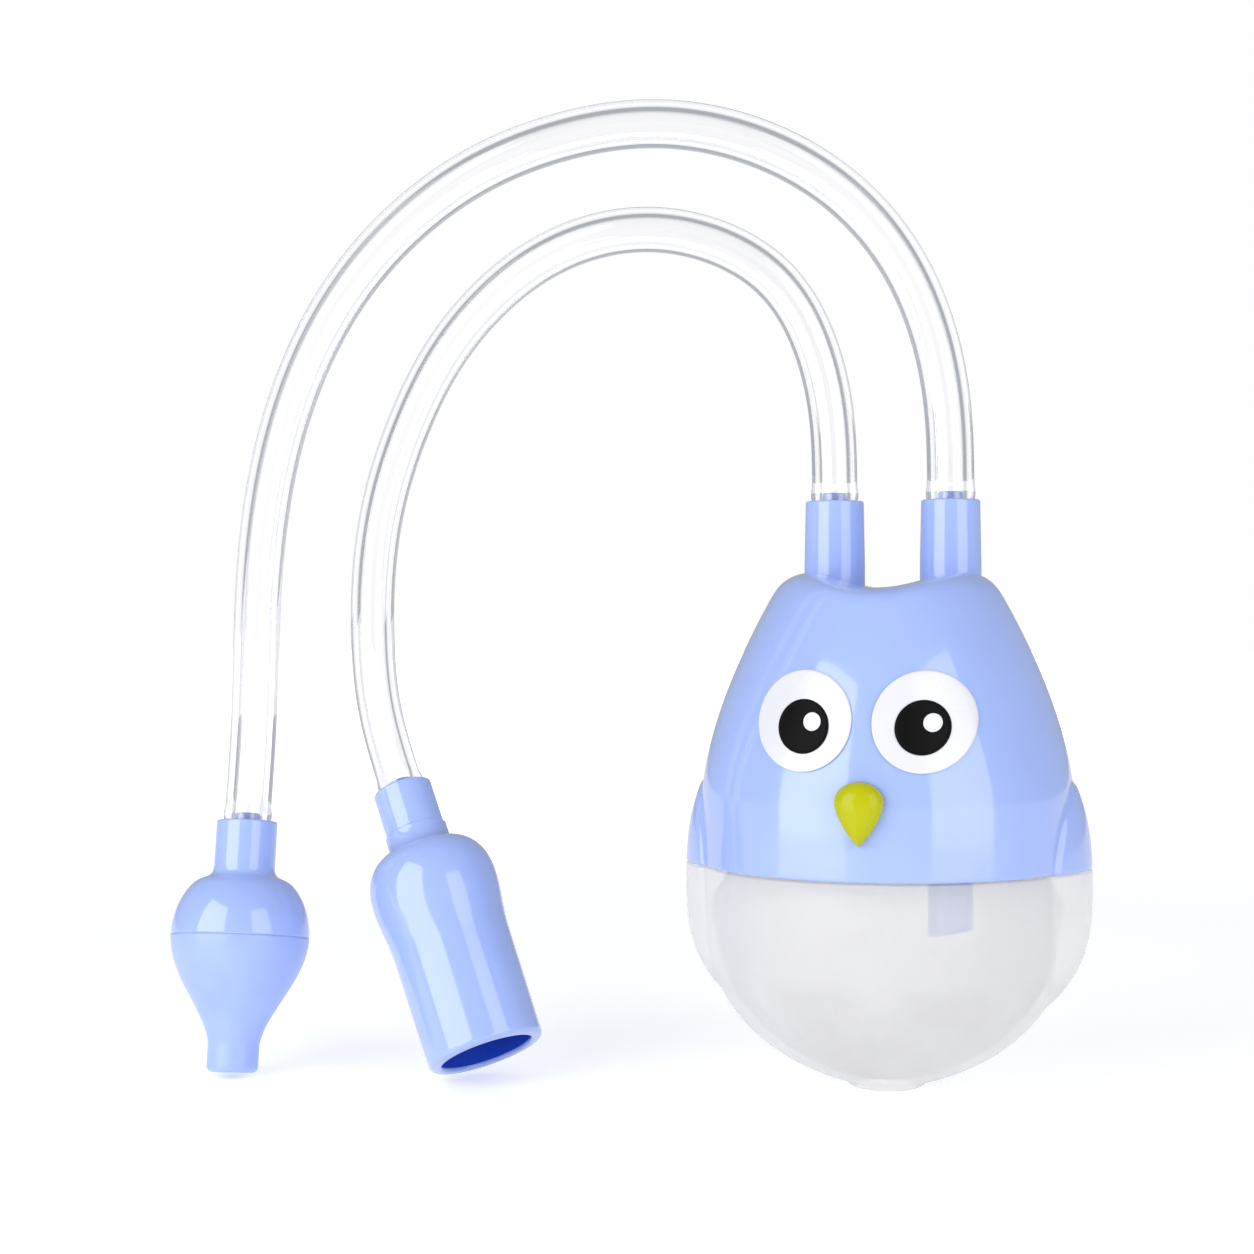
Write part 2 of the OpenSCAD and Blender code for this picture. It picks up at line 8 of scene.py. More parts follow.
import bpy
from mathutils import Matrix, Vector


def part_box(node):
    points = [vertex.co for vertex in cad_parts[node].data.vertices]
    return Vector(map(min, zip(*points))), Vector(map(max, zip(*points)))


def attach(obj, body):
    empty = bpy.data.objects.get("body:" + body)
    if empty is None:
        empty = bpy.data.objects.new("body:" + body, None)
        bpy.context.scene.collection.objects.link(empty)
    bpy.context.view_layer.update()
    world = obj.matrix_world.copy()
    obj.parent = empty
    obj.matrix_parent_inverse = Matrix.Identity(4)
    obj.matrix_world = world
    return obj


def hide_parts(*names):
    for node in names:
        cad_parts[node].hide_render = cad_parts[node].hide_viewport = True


bl_info = {
    "name": "Owl Nasal Aspirator",
    "version": (1, 0, 0),
    "blender": (4, 5, 0),
    "location": "3D View > Sidebar > Aspirator",
    "description": "Builds the pieces and finishes of an owl-shaped nasal aspirator "
                   "around its packed model",
    "category": "Add Mesh",
}

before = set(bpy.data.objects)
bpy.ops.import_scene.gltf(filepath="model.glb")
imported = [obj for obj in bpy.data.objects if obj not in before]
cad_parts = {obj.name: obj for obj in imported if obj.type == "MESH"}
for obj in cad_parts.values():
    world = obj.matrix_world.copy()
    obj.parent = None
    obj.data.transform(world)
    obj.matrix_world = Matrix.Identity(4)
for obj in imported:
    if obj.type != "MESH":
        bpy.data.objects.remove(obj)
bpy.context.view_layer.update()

import math

import bpy
import numpy as np
from mathutils import Vector

MM = 0.001


def cad_edge(node, side, axis):
    """Lowest (side 0) or highest (side 1) coordinate of a CAD node on an axis, to a tenth of a
    millimetre."""
    return round(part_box(node)[side][axis] / MM, 1)


# ---- Sizes that the pieces share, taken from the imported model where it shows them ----

SEAM_GAP = 0.3
SEAM_Z = round(cad_edge("head_shell", 0, 2) - SEAM_GAP, 1)
EAR_TOP = cad_edge("head_shell", 1, 2)
BODY_R = cad_edge("cup", 1, 1)
NECK_TOP = cad_edge("cup", 1, 2)
PIPE_Y = (cad_edge("inlet_pipe", 0, 1) + cad_edge("inlet_pipe", 1, 1)) / 2
INLET_X = (cad_edge("inlet_pipe", 0, 0) + cad_edge("inlet_pipe", 1, 0)) / 2
OUTLET_X = (cad_edge("outlet_pipe", 0, 0) + cad_edge("outlet_pipe", 1, 0)) / 2
BARB_PROUD = 1.2
COLLAR_TOP = round(cad_edge("inlet_pipe", 1, 2) - BARB_PROUD, 1)
RIM_DROP = BARB_PROUD + 0.1
SOCKET_DEPTH = 8.0
MOUTH_SOCKET_DEPTH = 6.6
HOSE_BORE_R = 2.0
HOSE_CLEARANCE = 0.05
BARB_R = HOSE_BORE_R - HOSE_CLEARANCE
BARB_BORE_R = 1.3
SLEEVE_GAP = 0.5
HOSE_FLARE = 0.22
HEAD_WALL = 1.6
NECK_R = 25.32

NOSE_ROUTE = [
    (INLET_X, PIPE_Y, COLLAR_TOP + RIM_DROP), (9, 6.5, 103.5), (6.5, 4.5, 117), (0.5, 0.5, 129.5),
    (-9.5, -4, 139), (-22, -8.5, 144.5), (-35, -12.5, 146), (-48.5, -15.5, 143.5),
    (-61.5, -17, 138.5), (-73, -18, 130), (-82, -18, 120), (-89, -17, 108),
    (-94, -15, 95), (-97, -13, 81.5), (-98.5, -11, 68), (-99.5, -9.5, 54), (-99.5, -12, 40.2),
]
MOUTH_ROUTE = [
    (OUTLET_X, PIPE_Y, COLLAR_TOP + RIM_DROP), (-9, 6.5, 102.5), (-11.5, 5, 114.5),
    (-17.5, 3.5, 125), (-28.5, 1.5, 131), (-40.5, 0, 132.5), (-52.5, -0.5, 129.5),
    (-62.5, -0.5, 123), (-71, 0, 114), (-77, 1, 103.5), (-81.5, 1.5, 92), (-84, 2.5, 80.5),
    (-84.5, 3, 68), (-83.5, 3, 56), (-78.5, 0, 44.7),
]
NASAL_LEAN = (10.5, 95)
MOUTH_LEAN = (29.5, 146)


# ---- Settings ----

def length_value(name, description, default):
    """A length property whose default is given in millimetres."""
    return bpy.props.FloatProperty(
        name=name, description=description, default=default * MM, unit="LENGTH"
    )


def colour_value(name, description, default):
    """A colour property."""
    return bpy.props.FloatVectorProperty(
        name=name, description=description, default=default, size=3, min=0, max=1, subtype="COLOR"
    )


class AspiratorSizes(bpy.types.PropertyGroup):
    """Sizes of the visible pieces."""

    nose_hose_d: length_value("Long hose", "Outer diameter of the hose to the nasal tip", 7.2)
    mouth_hose_d: length_value("Short hose", "Outer diameter of the hose to the mouthpiece", 7.0)
    eye_d: length_value("Eye", "Diameter of the white of an eye", 14.4)
    pupil_d: length_value("Pupil", "Diameter of a pupil", 7.7)
    glint_d: length_value("Glint", "Diameter of the glint in a pupil", 2.6)
    beak_w: length_value("Beak width", "Width of the beak", 7.0)
    beak_h: length_value("Beak length", "Length of the beak", 9.1)
    bulb_r: length_value("Bulb radius", "Radius of the nasal tip at its widest", 10.7)
    nozzle_r: length_value("Nozzle radius", "Radius of the nozzle at its end", 3.95)
    mouth_r: length_value("Mouthpiece radius", "Radius of the mouthpiece at its open end", 9.05)


class AspiratorColours(bpy.types.PropertyGroup):
    """Colours of the finishes."""

    plastic: colour_value(
        "Hard plastic", "Colour of the head, pipes and mouthpiece", (0.35, 0.458, 0.86)
    )
    # Painted shade: a darker blue that stands in for the shade deep inside the mouthpiece.
    depth: colour_value("Depth", "Colour deep inside the mouthpiece", (0.022, 0.075, 0.58))
    silicone: colour_value("Soft silicone", "Colour of the nozzle", (0.36, 0.468, 0.86))
    cup: colour_value("Cup", "Colour of the frosted cup", (0.80, 0.785, 0.775))
    beak: colour_value("Beak", "Colour of the beak", (0.47, 0.475, 0.002))
    eye_white: colour_value("Eye white", "Colour of the eye whites", (0.73, 0.73, 0.77))
    pupil: colour_value("Pupil", "Colour of the pupils", (0.006, 0.006, 0.006))


# ---- Meshes ----

def grid_faces(rows, columns, loop):
    """Quads between neighbouring rows of a grid whose columns close round; with loop its rows close
    too."""
    i = np.arange(rows if loop else rows - 1)[:, None]
    j = np.arange(columns)[None, :]
    below, beside = (i + 1) % rows, (j + 1) % columns
    corners = (i * columns + j, below * columns + j, below * columns + beside, i * columns + beside)
    return np.stack(corners, axis=-1).reshape(-1, 4)


def pole_faces(rows, columns):
    """Triangles from a point before the first row, and to a point after the last row."""
    j = np.arange(columns)
    beside = (j + 1) % columns
    first, last = rows * columns, (rows - 1) * columns
    start = np.stack([np.full(columns, first), j, beside], axis=1)
    end = np.stack([last + j, np.full(columns, first + 1), last + beside], axis=1)
    return np.concatenate([start, end])


def signed_volume(points, triangles):
    """Sum of the signed tetrahedra from the origin to each triangle: positive when faces point
    outwards."""
    a, b, c = (points[triangles[:, k]] for k in range(3))
    return float((a * np.cross(b, c)).sum()) / 6


def add_piece(name, rings, poles=None):
    """A closed mesh from rings of points (rows, columns, 3): the rows close in a loop, or end in
    two poles."""
    rows, columns = rings.shape[:2]
    points = rings.reshape(-1, 3)
    quads = grid_faces(rows, columns, poles is None)
    caps = np.zeros((0, 3), int)
    if poles is not None:
        points = np.concatenate([points, np.asarray(poles, float)])
        caps = pole_faces(rows, columns)
    triangles = np.concatenate([quads[:, [0, 1, 2]], quads[:, [0, 2, 3]], caps])
    if signed_volume(points - points.mean(0), triangles) < 0:
        quads, caps = quads[:, ::-1], caps[:, ::-1]
    mesh = bpy.data.meshes.new(name)
    mesh.from_pydata((points * MM).tolist(), [], quads.tolist() + caps.tolist())
    mesh.update()
    mesh.shade_smooth()
    piece = bpy.data.objects.new(name, mesh)
    bpy.context.scene.collection.objects.link(piece)
    return piece


def finish_piece(piece, material, body, slot, *nodes):
    """Gives a piece its material and the body that it rides on, and hides the CAD nodes that it
    stands for. Its slot is not used."""
    piece.data.materials.append(material)
    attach(piece, body)
    if nodes:
        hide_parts(*nodes)


def round_angles(count):
    """Angles evenly spaced round a full turn."""
    return np.arange(count) * (2 * math.pi / count)


def lathe(profile, angle=round_angles(96)):
    """Rings of a surface of revolution: each profile point (radius, height) goes round the Z
    axis."""
    profile = np.asarray(profile, float)
    radius, height = profile[:, :1], profile[:, 1:]
    height = np.broadcast_to(height, (len(profile), len(angle)))
    return np.stack([radius * np.cos(angle), radius * np.sin(angle), height], axis=2)


def rounded(corners, closed=False, steps=6):
    """Outline through corners (x, y, fillet radius). A fillet is the arc that touches both sides
    of its corner, and a point close to each end of it keeps the flat beside it flat."""
    ease = 0.04
    points = []
    count = len(corners)
    for i, (x, y, fillet) in enumerate(corners):
        here = np.array([x, y], float)
        if not closed and i in (0, count - 1):
            points.append(here)
            continue
        before = np.array(corners[i - 1][:2], float) - here
        after = np.array(corners[(i + 1) % count][:2], float) - here
        before_room, after_room = np.linalg.norm(before), np.linalg.norm(after)
        before, after = before / before_room, after / after_room
        half = math.acos(float(np.clip(before @ after, -1, 1))) / 2
        reach = fillet / math.tan(half)
        if reach + ease < before_room / 2:
            points.append(here + before * (reach + ease))
        if fillet == 0:
            points.append(here)
        else:
            middle = (before + after) / np.linalg.norm(before + after)
            centre = here + middle * fillet / math.sin(half)
            start, end = here + before * reach - centre, here + after * reach - centre
            turn = math.pi - 2 * half
            share = np.linspace(0, 1, steps + 1)[:, None]
            arc = (np.sin((1 - share) * turn) * start + np.sin(share * turn) * end) / math.sin(turn)
            points.extend(centre + arc)
        if reach + ease < after_room / 2:
            points.append(here + after * (reach + ease))
    return np.array(points)


def turned(lean):
    """Rotation by a tilt about Y and then a turn about Z, both in degrees."""
    tilt, turn = (math.radians(a) for a in lean)
    about_y = np.array([
        [math.cos(tilt), 0, math.sin(tilt)], [0, 1, 0], [-math.sin(tilt), 0, math.cos(tilt)],
    ])
    about_z = np.array([
        [math.cos(turn), -math.sin(turn), 0], [math.sin(turn), math.cos(turn), 0], [0, 0, 1],
    ])
    return about_z @ about_y


def placed(rings, lean, end):
    """Rings drawn with the collar's rim at height 0, leant and moved so that the barb's end meets
    the hose."""
    return (rings - [0, 0, RIM_DROP]) @ turned(lean).T + np.asarray(end, float)


# ---- Materials ----

def node(tree, kind, inputs=None, **settings):
    """A new shader node with its settings and input values."""
    made = tree.nodes.new(kind)
    for key, value in settings.items():
        setattr(made, key, value)
    for key, value in (inputs or {}).items():
        made.inputs[key].default_value = value
    return made


def principled(name, **values):
    """A material with one Principled shader. Values name its sockets with underscores for
    spaces."""
    material = bpy.data.materials.new(name)
    material.use_nodes = True
    shader = material.node_tree.nodes["Principled BSDF"]
    for key, value in values.items():
        shader.inputs[key.replace("_", " ")].default_value = value
    return material, material.node_tree, shader


def object_noise(tree, scale, detail=2.0, stretch=None):
    """Noise over object coordinates, in waves per metre; stretch scales the axes first."""
    coordinates = node(tree, "ShaderNodeTexCoord")
    socket = coordinates.outputs["Object"]
    if stretch:
        mapping = node(tree, "ShaderNodeMapping", {"Scale": stretch})
        tree.links.new(socket, mapping.inputs["Vector"])
        socket = mapping.outputs["Vector"]
    noise = node(tree, "ShaderNodeTexNoise", {"Scale": scale, "Detail": detail, "Roughness": 0.5})
    tree.links.new(socket, noise.inputs["Vector"])
    return noise.outputs["Fac"]


def ranged(tree, socket, low, high, to_low, to_high, smooth=False):
    """A value moved from one range to another."""
    step = node(
        tree, "ShaderNodeMapRange",
        {"From Min": low, "From Max": high, "To Min": to_low, "To Max": to_high},
        interpolation_type="SMOOTHSTEP" if smooth else "LINEAR",
    )
    tree.links.new(socket, step.inputs["Value"])
    return step.outputs["Result"]


def blended(tree, factor, one, two):
    """A colour between two colours by a factor. A colour is three numbers or a socket."""
    mix = node(tree, "ShaderNodeMix", data_type="RGBA")
    tree.links.new(factor, mix.inputs["Factor"])
    for key, value in (("A", one), ("B", two)):
        socket = next(s for s in mix.inputs if s.name == key and s.type == "RGBA")
        if isinstance(value, bpy.types.NodeSocket):
            tree.links.new(value, socket)
        else:
            socket.default_value = (*value, 1)
    return next(s for s in mix.outputs if s.type == "RGBA")


def bumped(tree, shader, height, strength, distance):
    """Bump from a height socket on a shader's normal."""
    bump = node(tree, "ShaderNodeBump", {"Strength": strength, "Distance": distance})
    tree.links.new(height, bump.inputs["Height"])
    tree.links.new(bump.outputs["Normal"], shader.inputs["Normal"])


def shade(colour, factor):
    """A colour made lighter or darker, kept within 0 to 1."""
    return tuple(min(1.0, c * factor) for c in colour)


def moulded(name, colour, roughness=(0.1, 0.17), coat=0.6, peel=0.03, **values):
    """Gloss moulded plastic: faint cloudy colour, uneven gloss and a fine orange peel under a clear
    skin."""
    material, tree, shader = principled(
        name, Coat_Weight=coat, Coat_Roughness=0.03, Coat_IOR=1.5, IOR=1.5, **values
    )
    cloud = object_noise(tree, 55, 3)
    mixed = ranged(tree, cloud, 0.3, 0.7, 0, 1)
    tint = blended(tree, mixed, shade(colour, 0.975), shade(colour, 1.03))
    tree.links.new(tint, shader.inputs["Base Color"])
    tree.links.new(
        ranged(tree, object_noise(tree, 160, 4), 0.3, 0.7, *roughness), shader.inputs["Roughness"]
    )
    bumped(tree, shader, object_noise(tree, 420, 2), peel, 0.0004)
    return material


def silicone(name, colour):
    """Soft satin silicone: light soaks in a little, with a fine matte grain and a dusting of
    lighter bloom."""
    material, tree, shader = principled(
        name, Subsurface_Weight=0.25, Subsurface_Scale=0.0015, Subsurface_Radius=(0.6, 0.8, 1.0),
        Sheen_Weight=0.12, Sheen_Roughness=0.4, Coat_Weight=0.15, Coat_Roughness=0.22, IOR=1.43,
    )
    bloom = object_noise(tree, 130, 4)
    mixed = ranged(tree, bloom, 0.35, 0.7, 0, 1)
    tint = blended(tree, mixed, shade(colour, 0.97), shade(colour, 1.05))
    tree.links.new(tint, shader.inputs["Base Color"])
    tree.links.new(ranged(tree, bloom, 0.3, 0.7, 0.27, 0.36), shader.inputs["Roughness"])
    bumped(tree, shader, object_noise(tree, 2600, 2), 0.05, 0.0001)
    return material


def frosted(name, colour):
    """Frosted polypropylene: milky and half see-through, with painted shade that makes it greyer at
    its bottom and painted light that makes it whiter above.
    """
    material, tree, shader = principled(
        name, Alpha=0.38, Subsurface_Weight=0.7, Subsurface_Scale=0.004,
        Subsurface_Radius=(1.0, 1.0, 1.0), Coat_Weight=0.25, Coat_Roughness=0.12, IOR=1.49,
    )
    coordinates = node(tree, "ShaderNodeTexCoord")
    axes = node(tree, "ShaderNodeSeparateXYZ")
    tree.links.new(coordinates.outputs["Object"], axes.inputs["Vector"])
    # Painted shade and light: by height, the cup's colour goes darker towards its bottom and
    # lighter towards its top.
    painted_shade_level = ranged(tree, axes.outputs["Z"], *CUP_PAINTED_SHADE_Z, 0, 1, smooth=True)
    clear = blended(tree, painted_shade_level, shade(colour, 0.9), shade(colour, 1.05))
    cloud = ranged(tree, object_noise(tree, 90, 4), 0.3, 0.7, 0, 1)
    tint = blended(tree, cloud, clear, shade(colour, 1.04))
    tree.links.new(tint, shader.inputs["Base Color"])
    dull = ranged(tree, object_noise(tree, 240, 4), 0.3, 0.7, 0.3, 0.42)
    tree.links.new(dull, shader.inputs["Roughness"])
    bumped(tree, shader, object_noise(tree, 1800, 3), 0.06, 0.0001)
    return material


def clear_pvc(name):
    """Clear flexible PVC: glass-like, with faint lines along it from the die that it was drawn
    through."""
    material, tree, shader = principled(
        name, Base_Color=(0.985, 0.985, 0.99, 1), Transmission_Weight=1.0, IOR=1.49,
    )
    uv = node(tree, "ShaderNodeUVMap", uv_map="along")
    mapping = node(tree, "ShaderNodeMapping", {"Scale": (26, 9, 1)})
    lines = node(tree, "ShaderNodeTexNoise", {"Scale": 1.0, "Detail": 3.0})
    tree.links.new(uv.outputs["UV"], mapping.inputs["Vector"])
    tree.links.new(mapping.outputs["Vector"], lines.inputs["Vector"])
    dull = ranged(tree, lines.outputs["Fac"], 0.35, 0.7, 0.0, 0.05)
    tree.links.new(dull, shader.inputs["Roughness"])
    bumped(tree, shader, lines.outputs["Fac"], 0.05, 0.0002)
    return material


def finishes(context):
    """The object's materials by name, made once."""
    colours = context.scene.aspirator_colours
    makers = {
        "blue plastic": lambda key: moulded(key, colours.plastic),
        "inner plastic": lambda key: moulded(key, colours.plastic, (0.22, 0.32), 0.2),
        "blue silicone": lambda key: silicone(key, colours.silicone),
        "frosted cup": lambda key: frosted(key, colours.cup),
        "seal rubber": lambda key: silicone(key, (0.8, 0.81, 0.84)),
        # Painted shade: a darker copy of the blue plastic, with little reflection, for the shade
        # deep inside the mouthpiece.
        "painted shade plastic": lambda key: moulded(
            key, colours.depth, (0.2, 0.3), 0.0, Specular_IOR_Level=0.1
        ),
        "beak plastic": lambda key: moulded(
            key, colours.beak, (0.12, 0.2), 0.15, Specular_IOR_Level=0.15
        ),
        "eye white plastic": lambda key: moulded(key, colours.eye_white, (0.2, 0.3), 0.3),
        "pupil plastic": lambda key: moulded(
            key, colours.pupil, (0.25, 0.35), 0.0, Specular_IOR_Level=0.04
        ),
        "clear hose": clear_pvc,
    }
    return {key: bpy.data.materials.get(key) or make(key) for key, make in makers.items()}


# ---- Shape of the owl ----

SIDES_STRAIGHT_TO = SEAM_Z + 10.5
CROWN_Z = EAR_TOP - 6.7
TAPER_REF_Z = EAR_TOP - 4.7
TAPER_POWER = 1.6
CROWN_HALF_W = 17.9
CROWN_HALF_D = 17.5
CROWN_ROUND = 5.5
CROWN_WALL_SHARE = 1.2
CUP_FULLNESS = 3.1
CUP_UNDERSIDE = 1.6
# Heights in metres over which the cup's painted shade below turns into painted light above.
CUP_PAINTED_SHADE_Z = (0.0165, 0.0205)
EAR_X = 13.2
SADDLE_DROP = 2.8
SIDE_PINCH = 1.25
WING_PROUD = 2.75
WING_H = 34.0
WING_W = 23.0
WING_Z = 12.8
WING_CURVE_R = 16.5
WING_EDGE = 0.1


def cup_radius(z, r=BODY_R):
    """Radius of the cup at a height: a superellipse with two powers, from the foot up to the
    seam."""
    up = np.clip(1 - z / SEAM_Z, 0, 1)
    return r * (1 - up ** CUP_FULLNESS) ** (1 / CUP_UNDERSIDE)


def taper(z):
    """How far the head's taper has gone at a height."""
    return np.maximum(0, (z - SIDES_STRAIGHT_TO) / (TAPER_REF_Z - SIDES_STRAIGHT_TO)) ** TAPER_POWER


def half_width(z):
    """Half of the head's width at a height."""
    return BODY_R - (BODY_R - CROWN_HALF_W) * taper(z)


def half_depth(z):
    """Half of the head's depth at a height."""
    return BODY_R - (BODY_R - CROWN_HALF_D) * taper(z)


def pinch(z):
    """Power of the sine that draws the head's outline into a ridge at each side."""
    return 1 + (SIDE_PINCH - 1) * taper(z)


def saddle(x):
    """Height of the line over the top of the head: it dips between the ears by a squared cosine."""
    return EAR_TOP - SADDLE_DROP * np.cos(math.pi / 2 * np.minimum(1, np.abs(x) / EAR_X)) ** 2


def oval(k, z, t, inset):
    """Points of the head at height z and angle t: an oval scaled by k and moved inwards by
    inset."""
    x = (half_width(z) - inset) * k * np.cos(t)
    y = (half_depth(z) - inset) * k * np.sign(np.sin(t)) * np.abs(np.sin(t)) ** pinch(z)
    return np.stack(np.broadcast_arrays(x, y, z), axis=-1)


def crown_height(k, t, inset):
    """Height of the crown's ring k: a superellipse that rises from the sides to the saddle line."""
    top = saddle(half_width(EAR_TOP) * k * np.cos(t)) - CROWN_WALL_SHARE * inset
    return CROWN_Z + (top - CROWN_Z) * (1 - k ** CROWN_ROUND) ** (1 / CROWN_ROUND)


def face_y(x, z):
    """Front of the head at x and z: the oval's equation solved for y."""
    return -half_depth(z) * np.maximum(0, 1 - (x / half_width(z)) ** 2) ** (pinch(z) / 2)


def owl_angles():
    """Angles round the owl, over three times closer together over the wings than elsewhere."""
    wing = math.radians(28)
    near = np.linspace(-wing, wing, 97)[:-1]
    front = np.linspace(wing, math.pi - wing, 63)[:-1]
    return np.concatenate([near, front, near + math.pi, front + math.pi])


def smooth_step(x):
    """0 below 0, 1 above 1 and a smooth S between."""
    x = np.clip(x, 0, 1)
    return x * x * (3 - 2 * x)


def with_wings(rings):
    """Moves the rings' points out to the wings. A wing is a drum's skin round an axis near the
    side, swollen in the middle of its height, and shows inside an ellipse whose edge falls off
    softly."""
    x, y, z = rings[..., 0], rings[..., 1], rings[..., 2]
    u = (z - WING_Z - WING_H / 2) / (WING_H / 2)
    base = np.where(z > SEAM_Z, BODY_R, cup_radius(np.minimum(z, SEAM_Z)))
    offset = BODY_R + WING_PROUD - WING_CURVE_R
    drum = base + WING_PROUD * (1 - np.abs(u) ** 3) - offset
    out = np.hypot(x, y)
    along, across = np.abs(x) / out, y / out
    inside = np.maximum(0, drum ** 2 - (offset * across) ** 2)
    reach = offset * along + np.sqrt(inside)
    room = 1 - u ** 2 - (y / (WING_W / 2)) ** 2
    shown = smooth_step(room / WING_EDGE) * (drum > 0)
    grown = np.where(shown > 0, np.maximum(0, reach - out) * shown, 0)
    scale = 1 + grown / out
    return np.stack([x * scale, y * scale, z], axis=-1)


# ---- Operators ----

class AspiratorOperator:
    """What the operators below share."""

    bl_options = {"REGISTER", "UNDO"}

    @classmethod
    def poll(cls, context):
        return context.scene is not None


def spline_line(route, steps=12):
    """Points of a uniform cubic B-spline through a route's control points, with both ends held:
    each stretch is the four neighbours' weighted sum with the cubic basis."""
    p = np.asarray(route, float)
    p = np.concatenate([[2 * p[0] - p[1]], p, [2 * p[-1] - p[-2]]])
    t = (np.arange(steps) / steps)[:, None]
    basis = np.stack([
        (1 - t) ** 3, 3 * t**3 - 6 * t**2 + 4, -3 * t**3 + 3 * t**2 + 3 * t + 1, t**3,
    ], axis=0) / 6
    runs = np.stack([p[:-3], p[1:-2], p[2:-1], p[3:]], axis=0)
    line = (basis[:, None] * runs[:, :, None]).sum(0).reshape(-1, 3)
    return np.concatenate([line, p[-2:-1]])


def hose_line(route, lean, far_depth):
    """A hose's whole centreline: the route, with a straight sleeve inside the collar at each
    end."""
    line = spline_line(route)
    share = np.linspace(1, 0, 13)[:-1, None]
    start = line[0] - (SOCKET_DEPTH - SLEEVE_GAP + RIM_DROP) * share * [0, 0, 1]
    end = line[-1] - (far_depth - SLEEVE_GAP + RIM_DROP) * share[::-1] * turned(lean)[:, 2]
    return np.concatenate([start, line, end])


def hose_rings(line, outer_r, flare, far_depth):
    """A tube with a bore along a line. Each ring stands square to the line; the wall swells by
    flare just outside each collar, as a bell curve of the distance from the rim, and the rings
    run out and back inside."""
    turns = 56
    ahead = np.gradient(line, axis=0)
    ahead /= np.linalg.norm(ahead, axis=1, keepdims=True)
    side = np.cross(ahead, [0, 1, 0])
    side /= np.linalg.norm(side, axis=1, keepdims=True)
    up = np.cross(side, ahead)
    angle = round_angles(turns)[None, :, None]
    around = side[:, None] * np.cos(angle) + up[:, None] * np.sin(angle)
    along = np.concatenate([[0], np.cumsum(np.linalg.norm(np.diff(line, axis=0), axis=1))])
    from_end = np.minimum(along - SOCKET_DEPTH, along[-1] - along - far_depth) + SLEEVE_GAP
    peak, spread, rise = 1.0, 0.8, 0.4
    swell = flare * np.exp(-((from_end - peak) / spread) ** 2) * smooth_step(from_end / rise)
    outer = line[:, None] + around * (outer_r + swell)[:, None, None]
    inner = line[:, None] + around * HOSE_BORE_R
    return np.concatenate([outer, inner[::-1]]), along


def add_hose(name, route, lean, far_depth, diameter, material, body):
    """One hose with its UV map: turns across and metres along."""
    line = hose_line(route, lean, far_depth)
    rings, along = hose_rings(line, diameter / MM / 2, HOSE_FLARE, far_depth)
    piece = add_piece(name, rings)
    rows, turns = rings.shape[:2]
    u = np.broadcast_to(np.arange(turns) / turns, (rows, turns))
    v = np.broadcast_to((np.concatenate([along, along[::-1]]) * MM)[:, None], (rows, turns))
    uv = np.stack([u, v], axis=-1).reshape(-1, 2)
    corner = np.zeros(len(piece.data.loops), int)
    piece.data.loops.foreach_get("vertex_index", corner)
    at = uv[corner].reshape(-1, 4, 2)
    across = at[:, :, 0]
    across[(across.max(1) - across.min(1) > 0.5)[:, None] & (across < 0.5)] += 1
    layer = piece.data.uv_layers.new(name="along")
    layer.data.foreach_set("uv", at.ravel())
    finish_piece(piece, material, body, "clear_hose", name.replace("clear_", ""))


class ASPIRATOR_OT_hoses(AspiratorOperator, bpy.types.Operator):
    """Add the two clear hoses that arch from the owl to the nasal tip and to the mouthpiece"""

    bl_idname = "aspirator.add_hoses"
    bl_label = "Add Hoses"

    def execute(self, context):
        sizes = context.scene.aspirator_sizes
        clear = finishes(context)["clear hose"]
        add_hose(
            "clear_nose_hose", NOSE_ROUTE, NASAL_LEAN, SOCKET_DEPTH,
            sizes.nose_hose_d, clear, "nose_line",
        )
        add_hose(
            "clear_mouth_hose", MOUTH_ROUTE, MOUTH_LEAN, MOUTH_SOCKET_DEPTH,
            sizes.mouth_hose_d, clear, "mouth_line",
        )
        return {"FINISHED"}


